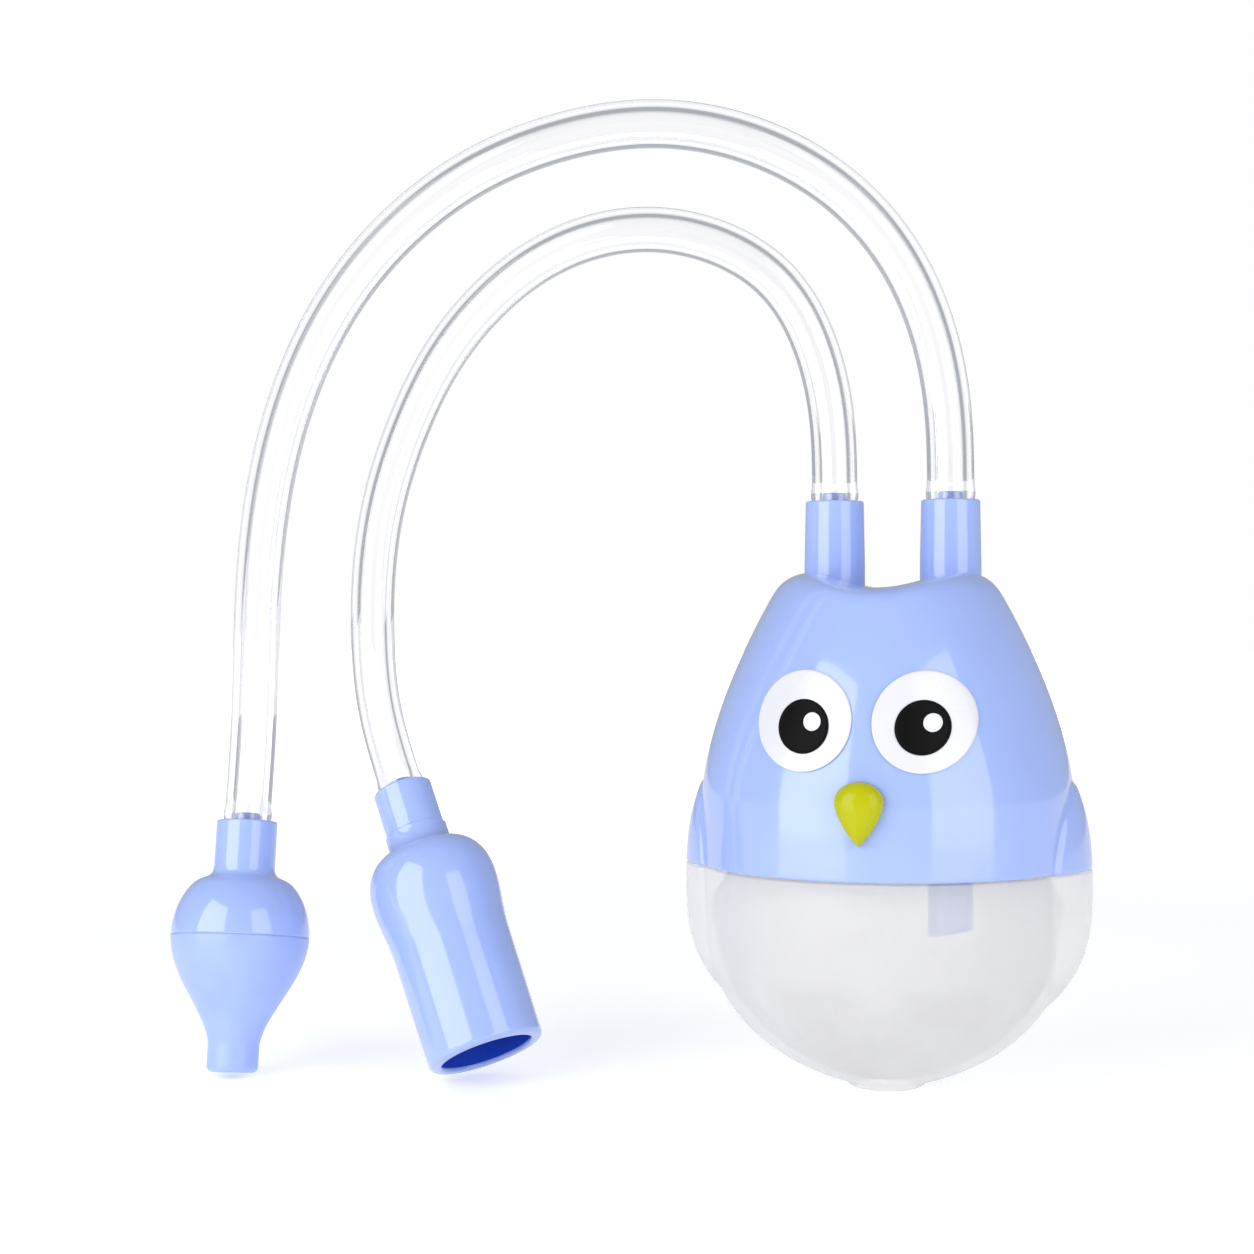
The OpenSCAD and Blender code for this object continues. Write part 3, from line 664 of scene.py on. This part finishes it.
class ASPIRATOR_OT_cup(AspiratorOperator, bpy.types.Operator):
    """Add the frosted cup with the lower halves of the wings, and its seal ring"""

    bl_idname = "aspirator.add_cup"
    bl_label = "Add Cup"

    def execute(self, context):
        wall, floor, foot_r, neck_wall = 1.5, 1.8, 6.0, 1.5
        foot_round, foot_round_h, shoulder_drop = 1.4, 0.95, 5
        steps = 60
        rise = np.linspace(0, 1, steps)
        inner_z = floor + (SEAM_Z - shoulder_drop - floor) * rise[1:] ** 1.6
        inner = np.stack([cup_radius(inner_z - floor * 0.6, BODY_R - wall), inner_z], axis=1)
        low_z = SEAM_Z * 0.004
        outer_z = low_z + (SEAM_Z - 0.35 - low_z) * (1 - rise) ** 1.35
        below = np.clip(1 - outer_z / foot_round_h, 0, 1)
        corner = foot_r - foot_round + foot_round * np.sqrt(1 - below ** 2)
        outer = np.stack([np.maximum(corner, cup_radius(outer_z)), outer_z], axis=1)
        neck = rounded([
            (inner[-1, 0], SEAM_Z - shoulder_drop, 0), (NECK_R - neck_wall, SEAM_Z - 1, 0.8),
            (NECK_R - neck_wall, NECK_TOP, 0.4), (NECK_R, NECK_TOP, 0.4), (NECK_R, SEAM_Z, 0.3),
            (BODY_R, SEAM_Z, 0.3), (outer[0, 0], outer[0, 1], 0),
        ])
        foot = np.array([[foot_r - foot_round, 0]])
        profile = np.concatenate([[[1.0, floor]], inner, neck[1:-1], outer, foot])
        rings = lathe(profile, owl_angles())
        seam_points = 4  # the fillet at the seam swells with the wings too
        outside = 1 + len(inner) + len(neck[1:-1]) - seam_points
        rings[outside:] = with_wings(rings[outside:])
        piece = add_piece("frosted_cup", rings, poles=[(0, 0, floor), (0, 0, 0)])
        finish_piece(piece, finishes(context)["frosted cup"], "cup_body", "frosted_cup", "cup")

        ring_low, ring_high = (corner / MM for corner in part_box("seal_ring"))
        thick = (ring_high.z - ring_low.z) / 2
        angle = round_angles(20)[::-1]
        section_r = ring_high.x - thick + thick * np.cos(angle)
        section = np.stack([section_r, ring_low.z + thick + thick * np.sin(angle)], axis=1)
        seal = add_piece("silicone_seal", lathe(section, round_angles(128)))
        finish_piece(seal, finishes(context)["seal rubber"], "cup_body", "seal", "seal_ring")
        return {"FINISHED"}


class ASPIRATOR_OT_head(AspiratorOperator, bpy.types.Operator):
    """Add the owl's head with the upper halves of the wings, the skirt inside it and the finish of
    its lid"""

    bl_idname = "aspirator.add_head"
    bl_label = "Add Head"

    def execute(self, context):
        angle = owl_angles()
        low = SEAM_Z + SEAM_GAP
        edge = 0.3

        def skin(inset, side_rows, crown_rows):
            """Rings from the crown's middle down to the seam: the crown's superellipse, then the
            sides."""
            i = np.arange(crown_rows, 0, -1)[:, None]
            k = np.sqrt(np.cos(math.pi / 2 * i / (crown_rows + 0.35)))
            crown = oval(k, crown_height(k, angle, inset), angle, inset)
            z = np.linspace(CROWN_Z, low + edge, side_rows)[:, None]
            return np.concatenate([crown, oval(1, z, angle, inset)])

        outer = with_wings(skin(0, 110, 34))
        roll = np.linspace(0, math.pi / 2, 6)[1:]
        rim = np.stack([outer[-1]] * len(roll))
        inward = edge * (1 - np.cos(roll))[:, None]
        radius = np.hypot(rim[..., 0], rim[..., 1])
        rim[..., :2] *= (1 - inward / radius)[..., None]
        rim[..., 2] = low + edge * (1 - np.sin(roll))[:, None]
        inner = skin(HEAD_WALL, 30, 12)[::-1]
        inner_rim = inner[:1].copy()
        inner_rim[..., 2] = low
        rings = np.concatenate([outer, rim, inner_rim, inner])
        top = float(saddle(0))
        poles = [(0, 0, top), (0, 0, top - CROWN_WALL_SHARE * HEAD_WALL)]
        shell = add_piece("owl_head", rings, poles)
        plastic = finishes(context)["blue plastic"]
        finish_piece(shell, plastic, "head", "blue_plastic", "head_shell")

        lid_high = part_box("inner_lid")[1] / MM
        skirt_r, skirt_low, skirt_top = lid_high.x, SEAM_Z + 1.06, lid_high.z + 0.6
        skirt = rounded([
            (skirt_r, skirt_top, 0.2), (skirt_r + 1, skirt_top, 0.2),
            (skirt_r + 1, skirt_low, 0.25), (skirt_r, skirt_low, 0.25),
        ], closed=True, steps=4)
        inner_plastic = finishes(context)["inner plastic"]
        skirt_piece = add_piece("head_skirt", lathe(skirt, round_angles(128)))
        finish_piece(skirt_piece, inner_plastic, "head", "blue_plastic")
        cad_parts["inner_lid"].data.materials.clear()
        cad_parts["inner_lid"].data.materials.append(inner_plastic)
        return {"FINISHED"}


def socket_outline(outer_r, hose_r, depth=SOCKET_DEPTH):
    """Outline of a collar's top: down the barb from its bore, across the socket's floor and out
    over the rim."""
    socket_r = hose_r + HOSE_CLEARANCE
    return [
        (BARB_BORE_R, BARB_PROUD, 0.15), (BARB_R, BARB_PROUD, 0.3), (BARB_R, -depth, 0.2),
        (socket_r, -depth, 0.2), (socket_r, 0, 0.12), (outer_r, 0, 0.35),
    ]


class ASPIRATOR_OT_pipes(AspiratorOperator, bpy.types.Operator):
    """Add the inlet and outlet pipes whose collars stand on the head"""

    bl_idname = "aspirator.add_pipes"
    bl_label = "Add Pipes"

    def execute(self, context):
        sizes = context.scene.aspirator_sizes
        collar_top_r, collar_r, pipe_r, bore_r = 4.5, 4.7, 3.5, 2.3
        above_head = EAR_TOP + 1 - COLLAR_TOP
        step = float(saddle(INLET_X)) - 5 - COLLAR_TOP
        slant = math.tan(math.radians(10))
        pipes = (
            ("inlet_pipe", INLET_X, sizes.nose_hose_d, SEAM_Z - 11, slant),
            ("outlet_pipe", OUTLET_X, sizes.mouth_hose_d, cad_edge("outlet_pipe", 0, 2), 0),
        )
        for name, x, hose_d, bottom_z, rise in pipes:
            bottom = bottom_z - COLLAR_TOP
            profile = rounded(socket_outline(collar_top_r, hose_d / MM / 2) + [
                (collar_r, above_head, 0.5), (collar_r, step, 0.3), (pipe_r, step, 0.3),
                (pipe_r, bottom, 0.25), (bore_r, bottom, 0.15), (bore_r, step + 1, 0.3),
                (BARB_BORE_R, step + 1, 0.2),
            ], closed=True)
            rings = lathe(profile)
            end = (profile[:, 1] < bottom + 1)[:, None]
            rings[..., 2] += np.where(end, rise * rings[..., 0], 0)
            rings += [x, PIPE_Y, COLLAR_TOP]
            piece = add_piece("blue_" + name, rings)
            finish_piece(piece, finishes(context)["blue plastic"], "head", "blue_plastic", name)
        return {"FINISHED"}


def face_plate(outline, spread, lift, back, x, z):
    """Rings of a plate on the owl's face. The outline gives offsets from (x, z), spread how far
    out each ring goes, and lift how far it stands off the face. The last ring closes on the
    back."""
    spread, lift = (np.asarray(v, float)[:, None] for v in (spread, lift))
    px, pz = x + spread * outline[0], z + spread * outline[1]
    rings = np.stack(np.broadcast_arrays(px, face_y(px, pz) - lift, pz), axis=-1)
    middle = float(face_y(x, z))
    return rings, [(x, middle - float(lift[0, 0]), z), (x, middle - back, z)]


def round_plate(radius, back, top, edge, ridges):
    """Spread and lift of a round plate: flat from the middle, with small round ridges (place,
    width, height), and a quarter-round edge."""
    flat = np.concatenate([
        np.linspace(0.04, 1, 26)[:-1] * (radius - edge),
        *[np.linspace(place - width, place + width, 9) for place, width, _ in ridges],
    ])
    flat = np.unique(np.append(flat, radius - edge))
    lift = np.full(len(flat), top)
    for place, width, height in ridges:
        lift += height * np.cos(np.clip((flat - place) / width, -1, 1) * math.pi / 2) ** 2
    roll = np.linspace(0, math.pi / 2, 7)[1:]
    under = np.linspace(1, 0.1, 6) * radius
    spread = np.concatenate([flat, radius - edge + edge * np.sin(roll), under])
    lift = np.concatenate([lift, top - edge + edge * np.cos(roll), np.full(len(under), back)])
    return spread, lift


class ASPIRATOR_OT_face(AspiratorOperator, bpy.types.Operator):
    """Add the eyes and the beak"""

    bl_idname = "aspirator.add_face"
    bl_label = "Add Face"

    def execute(self, context):
        sizes = context.scene.aspirator_sizes
        finish = finishes(context)
        gap, white_t, pupil_t, glint_t = 0.04, 0.45, 0.2, 0.1
        pupil_top = white_t + pupil_t
        eye_x, pupil_x = 8.6, 8.5
        glint_x, glint_z = 1.35, 0.7
        ridge_inset, ridge_w, ridge_h = 0.28, 0.14, 0.05
        eye_z = SEAM_Z + 22.8
        pupil_z = eye_z - 0.8
        angle = round_angles(72)
        circle = (np.cos(angle), np.sin(angle))
        pupil_r, glint_r = sizes.pupil_d / MM / 2, sizes.glint_d / MM / 2
        for word, side in (("left", 1), ("right", -1)):
            plates = (
                ("eye_white", eye_x * side, eye_z, sizes.eye_d / MM / 2,
                 gap, white_t, 0.22, "eye_white"),
                ("pupil", pupil_x * side, pupil_z, pupil_r,
                 white_t + gap, pupil_top, 0.12, "pupil"),
                ("glint", pupil_x * side + glint_x, pupil_z + glint_z, glint_r,
                 pupil_top + gap, pupil_top + glint_t, 0.05, "eye_white"),
            )
            for part, x, z, radius, back, top, edge, slot in plates:
                ridge = (radius - ridge_inset, ridge_w, ridge_h)
                ridges = () if part == "eye_white" else (ridge,)
                plate = round_plate(radius, back, top, edge, ridges)
                rings, poles = face_plate(circle, *plate, back, x, z)
                material = finish["pupil plastic" if part == "pupil" else "eye white plastic"]
                piece = add_piece(f"owl_{word}_{part}", rings, poles)
                finish_piece(piece, material, "head", slot, f"{word}_{part}")

        width, height, proud = sizes.beak_w / MM, sizes.beak_h / MM, 2.6
        below, above, tip_z = 0.68, 0.32, 5.4
        wide_z = SEAM_Z + tip_z + height * below
        s, c = np.sin(angle), np.cos(angle)
        narrow = np.where(s < 0, (1 - np.abs(s) ** 1.6) ** 0.9, np.sqrt(np.maximum(0, 1 - s * s)))
        outline = (np.sign(c) * width / 2 * narrow, height * np.where(s < 0, below, above) * s)
        spread = np.sin(np.linspace(0.04, math.pi / 2, 30))
        lift = gap + 0.6 + (proud - 0.6) * np.sqrt(np.maximum(0, 1 - spread ** 2.3))
        spread = np.concatenate([spread, [1.0, 1.0, 0.7, 0.3]])
        lift = np.concatenate([lift, [gap + 0.3, gap, gap, gap]])
        rings, poles = face_plate(outline, spread, lift, gap, 0, wide_z)
        poles[0] = (0, float(face_y(0, wide_z)) - gap - proud, wide_z)
        beak = add_piece("owl_beak", rings, poles)
        finish_piece(beak, finish["beak plastic"], "head", "beak", "beak")
        return {"FINISHED"}


class ASPIRATOR_OT_nasal_tip(AspiratorOperator, bpy.types.Operator):
    """Add the nasal tip: a hard socket with a collar, and the soft nozzle pulled over it"""

    bl_idname = "aspirator.add_nasal_tip"
    bl_label = "Add Nasal Tip"

    def execute(self, context):
        sizes = context.scene.aspirator_sizes
        bulb_r, nozzle_r = sizes.bulb_r / MM, sizes.nozzle_r / MM
        full, collar_len, collar_r, bulb_drop, fillet = 38.9, 7.8, 4.75, 18.0, 2.6
        wall, bore_r, bore_len, lip_depth = 1.4, 1.7, 6.0, 4.0
        lip_r = bulb_r - wall
        bulb_top = collar_len + fillet

        def upper(s):
            """Radius of the bulb's upper half at distance s below the rim, a near ellipse."""
            return bulb_r * (1 - ((bulb_drop - s) / (bulb_drop - collar_len + 1.2)) ** 2.1) ** 0.5

        s = np.linspace(bulb_top, bulb_drop - 0.06, 30)
        bulb = np.stack([upper(s), -s], axis=1)
        slope = bulb[1] - bulb[0]
        slope /= np.linalg.norm(slope)
        start, end = np.array([collar_r, -collar_len + 0.6]), bulb[0]
        t = np.linspace(0, 1, 12)[1:-1, None]
        pull_a, pull_b = start + [0, -2.3], end - slope * 2.6
        neck = (
            (1 - t) ** 3 * start + 3 * (1 - t) ** 2 * t * pull_a
            + 3 * (1 - t) * t ** 2 * pull_b + t ** 3 * end
        )
        inside_s = np.linspace(bulb_drop - 0.4, bulb_top + 2, 12)
        inside = np.stack([upper(inside_s) - wall - 1.4, -inside_s], axis=1)
        top = rounded([
            (BARB_BORE_R, -bulb_top - 1, 0), *socket_outline(collar_r, sizes.nose_hose_d / MM / 2),
            (collar_r, start[1], 0),
        ])
        lip = rounded([
            (bulb[-1, 0], bulb[-1, 1], 0), (bulb_r - 0.1, -bulb_drop, 0.03),
            (lip_r, -bulb_drop, 0.1), (lip_r, -bulb_drop - lip_depth, 0.3),
            (lip_r - wall, -bulb_drop - lip_depth, 0.3),
            (inside[0, 0], inside[0, 1], 0),
        ])
        bore = [[BARB_BORE_R, -bulb_top - 2]]
        profile = np.concatenate([top[:-1], [start], neck, bulb, lip[1:-1], inside, bore])
        finish = finishes(context)
        rings = placed(lathe(profile), NASAL_LEAN, NOSE_ROUTE[-1])
        socket = add_piece("tip_socket_hard", rings)
        finish_piece(socket, finish["blue plastic"], "nose_line", "blue_plastic", "tip_socket")

        length = full - bulb_drop

        def lower(h):
            """Radius of the nozzle at height h above its end: a softened cosine from the nozzle to
            the bulb."""
            u = np.clip((h - 4) / (length - 4), 0, 1)
            return nozzle_r + (bulb_r - nozzle_r) * ((1 - np.cos(math.pi * u ** 0.93)) / 2) ** 0.9

        h = np.linspace(length - 0.06, 1.4, 60)
        outer = np.stack([lower(h), h - full], axis=1)
        cavity = length - lip_depth - 0.4 - bore_len
        h = bore_len + cavity * np.linspace(0, 1, 30)[1:]
        inner = np.stack([np.maximum(bore_r, lower(h) - wall), h - full], axis=1)
        end = rounded([
            (outer[-1, 0], outer[-1, 1], 0), (nozzle_r, -full, 0.85), (bore_r, -full, 0.3),
            (bore_r, bore_len - full, 0),
        ])
        mouth = rounded([
            (inner[-1, 0], inner[-1, 1], 0), (lip_r, -bulb_drop - lip_depth - 0.1, 0.2),
            (lip_r, -bulb_drop, 0.1), (bulb_r - 0.1, -bulb_drop, 0.05),
            (outer[0, 0], outer[0, 1], 0),
        ])
        profile = np.concatenate([outer, end[1:], inner, mouth[1:-1]])
        rings = placed(lathe(profile), NASAL_LEAN, NOSE_ROUTE[-1])
        nozzle = add_piece("soft_nozzle", rings)
        finish_piece(nozzle, finish["blue silicone"], "nose_line", "blue_silicone", "nozzle")
        return {"FINISHED"}


class ASPIRATOR_OT_mouthpiece(AspiratorOperator, bpy.types.Operator):
    """Add the mouthpiece and the connector that joins it to its hose"""

    bl_idname = "aspirator.add_mouthpiece"
    bl_label = "Add Mouthpiece"

    def execute(self, context):
        sizes = context.scene.aspirator_sizes
        mouth_r = sizes.mouth_r / MM
        full, collar_len, collar_r = 45.2, 7.6, 4.7
        ring_r, ring_len, stub_r, stub_len = 5.0, 3.1, 3.7, 6.0
        shoulder_r, wall, edge, dome_h = 10.1, 1.9, 0.9, 5.0
        ring_bottom = collar_len + ring_len
        shoulder_at = ring_bottom + 7.5
        finish = finishes(context)

        hose_r = sizes.mouth_hose_d / MM / 2
        profile = rounded(socket_outline(collar_r, hose_r, MOUTH_SOCKET_DEPTH) + [
            (collar_r, -collar_len, 0.12), (stub_r, -collar_len, 0.05),
            (stub_r, -collar_len - stub_len, 0.3), (BARB_BORE_R, -collar_len - stub_len, 0.2),
        ], closed=True)
        rings = placed(lathe(profile), MOUTH_LEAN, MOUTH_ROUTE[-1])
        connector = add_piece("mouth_connector_hard", rings)
        plastic = finish["blue plastic"]
        finish_piece(connector, plastic, "mouth_line", "blue_plastic", "mouth_connector")

        def radius(s):
            """Outer radius at distance s below the rim: a round shoulder, then a cosine waist to a
            slow cone."""
            u = np.clip((shoulder_at - s) / (shoulder_at - ring_bottom), 0, 1)
            shoulder = ring_r + (shoulder_r - ring_r) * (1 - u ** 2.4) ** (1 / 1.9)
            u = np.clip((s - shoulder_at) / 9, 0, 1)
            cone = mouth_r + 0.35 * (1 - (s - shoulder_at) / (full - shoulder_at))
            skirt = cone + (shoulder_r - mouth_r - 0.35) * (1 + np.cos(math.pi * u)) / 2
            return np.where(s < shoulder_at, shoulder, skirt)

        s = ring_bottom + (full - edge - ring_bottom) * np.linspace(0, 1, 90) ** 1.6
        outer = np.stack([radius(s), -s], axis=1)
        bore_r = mouth_r - wall
        angle = np.linspace(0, math.pi / 2, 14)
        dome_r, dome_z = stub_r + (bore_r - stub_r) * np.cos(angle), dome_h * np.sin(angle)
        dome = np.stack([dome_r, -shoulder_at + dome_z], axis=1)
        top = rounded([
            (stub_r, dome[-1, 1], 0), (stub_r, -collar_len, 0.05), (ring_r, -collar_len, 0.15),
            (ring_r, -ring_bottom, 0),
        ])
        end = rounded([
            (outer[-1, 0], outer[-1, 1], 0), (mouth_r, -full, edge), (bore_r, -full, 0.45),
            (bore_r, -shoulder_at, 0),
        ], steps=10)
        bore = full - 0.6 - (full - 0.6 - shoulder_at) * np.linspace(0, 1, 8)
        bore = np.stack([np.full(8, bore_r), -bore], axis=1)
        profile = np.concatenate([top[1:], outer[1:-1], end[:-1], bore[:-1], dome])
        turns = 128
        rings = placed(lathe(profile, round_angles(turns)), MOUTH_LEAN, MOUTH_ROUTE[-1])
        mouthpiece = add_piece("mouthpiece_shell", rings)
        # The bore and the dome inside the mouthpiece take the painted shade material.
        row = np.arange(len(mouthpiece.data.polygons)) // turns
        deep = row > len(profile) - len(dome) - len(bore)
        mouthpiece.data.polygons.foreach_set("material_index", deep.astype(int))
        finish_piece(mouthpiece, plastic, "mouth_line", "blue_plastic", "mouthpiece")
        mouthpiece.data.materials.append(finish["painted shade plastic"])
        return {"FINISHED"}


# ---- Stage ----

VIEW_TURN = math.radians(14.5)
VIEW_HEIGHT = 69.6
VIEW_DISTANCE = 332.0
VIEW_SHIFT = 39.4
LENS = 62.7
BEHIND_FADE = (0.55, 0.9)
FLOOR_REACH = 6.0
FLOOR_GLOW = 0.52
FLOOR_GLOW_ROOM = FLOOR_GLOW * 0.8
FLOOR_GLOW_FROM, FLOOR_GLOW_TO = 0.2, 0.6
SOFTBOX_H = 0.46
SOFTBOX_AWAY = 0.42
SOFTBOX_CENTRE = (-0.02, -0.005)
SURROUND_WHITE = 0.99
ROOM_COLOUR = (0.88, 0.92, 1, 1)
ROOM_STRENGTH = 0.45


def seen_behind(tree, direction, ahead):
    """1 where the backdrop is seen straight or through something clear, falling to 0 where clear
    plastic bends the view away from ahead, and 0 for light and reflections. Direction is the
    world's or a surface's own."""
    path = node(tree, "ShaderNodeLightPath")
    seen = node(tree, "ShaderNodeMath", operation="MAXIMUM")
    tree.links.new(path.outputs["Is Camera Ray"], seen.inputs[0])
    tree.links.new(path.outputs["Is Transmission Ray"], seen.inputs[1])
    facing = node(tree, "ShaderNodeVectorMath", {1: ahead}, operation="DOT_PRODUCT")
    tree.links.new(direction, facing.inputs[0])
    behind = node(tree, "ShaderNodeMath", operation="MULTIPLY")
    tree.links.new(seen.outputs["Value"], behind.inputs[0])
    straight = ranged(tree, facing.outputs["Value"], *BEHIND_FADE, 0, 1, smooth=True)
    tree.links.new(straight, behind.inputs[1])
    return behind.outputs["Value"]


def add_softbox(name, swing, width, power):
    """A tall rectangular light that stands on the floor and faces the object. Swing is its angle
    from the camera's side, positive to the camera's right."""
    data = bpy.data.lights.new(name, "AREA")
    data.shape, data.size, data.size_y, data.energy = "RECTANGLE", width, SOFTBOX_H, power
    light = bpy.data.objects.new(name, data)
    bpy.context.scene.collection.objects.link(light)
    heading = VIEW_TURN + swing
    away = Vector((math.sin(heading), -math.cos(heading), 0))
    light.location = Vector((*SOFTBOX_CENTRE, SOFTBOX_H / 2)) + away * SOFTBOX_AWAY
    light.rotation_euler = away.to_track_quat("Z", "Y").to_euler()
    light.visible_camera = False


class ASPIRATOR_OT_stage(AspiratorOperator, bpy.types.Operator):
    """Add the camera, a pale floor, two tall soft lights and a white surround"""

    bl_idname = "aspirator.add_stage"
    bl_label = "Add Stage"

    def execute(self, context):
        scene = context.scene
        scene.view_settings.view_transform = "Standard"
        camera_data = bpy.data.cameras.new("camera")
        camera_data.lens, camera_data.sensor_width = LENS, 36
        camera_data.clip_start, camera_data.clip_end = 0.01, 20
        camera = bpy.data.objects.new("camera", camera_data)
        scene.collection.objects.link(camera)
        ahead = Vector((-math.sin(VIEW_TURN), math.cos(VIEW_TURN), 0))
        right = Vector((math.cos(VIEW_TURN), math.sin(VIEW_TURN), 0))
        place = -ahead * VIEW_DISTANCE - right * VIEW_SHIFT + Vector((0, 0, VIEW_HEIGHT))
        camera.location = place * MM
        camera.rotation_euler = (math.pi / 2, 0, VIEW_TURN)
        scene.camera = camera

        material, tree, shader = principled("pale floor", Roughness=0.3, Specular_IOR_Level=0.35)
        coordinates = node(tree, "ShaderNodeTexCoord")
        away = node(tree, "ShaderNodeVectorMath", operation="LENGTH")
        tree.links.new(coordinates.outputs["Object"], away.inputs[0])
        distance = away.outputs["Value"]
        glow = ranged(tree, distance, FLOOR_GLOW_FROM, FLOOR_GLOW_TO, FLOOR_GLOW, 1.0, smooth=True)
        strength = node(tree, "ShaderNodeMix", {"A": FLOOR_GLOW_ROOM}, data_type="FLOAT")
        surface = node(tree, "ShaderNodeNewGeometry")
        seen = seen_behind(tree, surface.outputs["Incoming"], -ahead)
        tree.links.new(seen, strength.inputs["Factor"])
        tree.links.new(glow, strength.inputs["B"])
        tree.links.new(strength.outputs["Result"], shader.inputs["Emission Strength"])
        shader.inputs["Emission Color"].default_value = (1, 1, 1, 1)
        speck = blended(tree, object_noise(tree, 30, 3), (0.84, 0.84, 0.845), (0.86, 0.86, 0.86))
        tree.links.new(speck, shader.inputs["Base Color"])
        mesh = bpy.data.meshes.new("floor")
        sides = ((-1, -1), (1, -1), (1, 1), (-1, 1))
        corners = [(x * FLOOR_REACH, y * FLOOR_REACH, 0) for x, y in sides]
        mesh.from_pydata(corners, [], [(0, 1, 2, 3)])
        mesh.materials.append(material)
        floor = bpy.data.objects.new("floor", mesh)
        scene.collection.objects.link(floor)

        add_softbox("left softbox", math.radians(-50), 0.345, 1.55)
        add_softbox("right softbox", math.radians(41), 0.29, 0.9)

        world = bpy.data.worlds.new("white surround")
        scene.world = world
        world.use_nodes = True
        tree = world.node_tree
        white = node(
            tree, "ShaderNodeBackground", {"Color": (1, 1, 1, 1), "Strength": SURROUND_WHITE}
        )
        room = tree.nodes["Background"]
        room.inputs["Color"].default_value = ROOM_COLOUR
        room.inputs["Strength"].default_value = ROOM_STRENGTH
        coordinates = node(tree, "ShaderNodeTexCoord")
        mix = node(tree, "ShaderNodeMixShader")
        seen = seen_behind(tree, coordinates.outputs["Generated"], ahead)
        tree.links.new(seen, mix.inputs["Fac"])
        tree.links.new(room.outputs["Background"], mix.inputs[1])
        tree.links.new(white.outputs["Background"], mix.inputs[2])
        tree.links.new(mix.outputs["Shader"], tree.nodes["World Output"].inputs["Surface"])
        return {"FINISHED"}


# ---- Panel and registration ----

OPERATORS = (
    ASPIRATOR_OT_stage, ASPIRATOR_OT_hoses, ASPIRATOR_OT_cup, ASPIRATOR_OT_head, ASPIRATOR_OT_pipes,
    ASPIRATOR_OT_face, ASPIRATOR_OT_nasal_tip, ASPIRATOR_OT_mouthpiece,
)


class ASPIRATOR_PT_panel(bpy.types.Panel):
    """Sizes, colours and buttons of the aspirator"""

    bl_label = "Nasal Aspirator"
    bl_idname = "ASPIRATOR_PT_panel"
    bl_space_type = "VIEW_3D"
    bl_region_type = "UI"
    bl_category = "Aspirator"

    def draw(self, context):
        column = self.layout.column()
        for group in (context.scene.aspirator_sizes, context.scene.aspirator_colours):
            for name in group.bl_rna.properties.keys():
                if name not in ("rna_type", "name"):
                    column.prop(group, name)
        for operator in OPERATORS:
            column.operator(operator.bl_idname)


CLASSES = (AspiratorSizes, AspiratorColours, *OPERATORS, ASPIRATOR_PT_panel)


def register():
    """Adds the classes and the scene's settings."""
    for cls in CLASSES:
        bpy.utils.register_class(cls)
    bpy.types.Scene.aspirator_sizes = bpy.props.PointerProperty(type=AspiratorSizes)
    bpy.types.Scene.aspirator_colours = bpy.props.PointerProperty(type=AspiratorColours)


def unregister():
    """Takes the scene's settings and the classes away again."""
    del bpy.types.Scene.aspirator_colours
    del bpy.types.Scene.aspirator_sizes
    for cls in reversed(CLASSES):
        bpy.utils.unregister_class(cls)


def main():
    """Builds everything in order."""
    register()
    for operator in OPERATORS:
        getattr(bpy.ops.aspirator, operator.bl_idname.split(".")[1])()


if __name__ == "__main__":
    main()
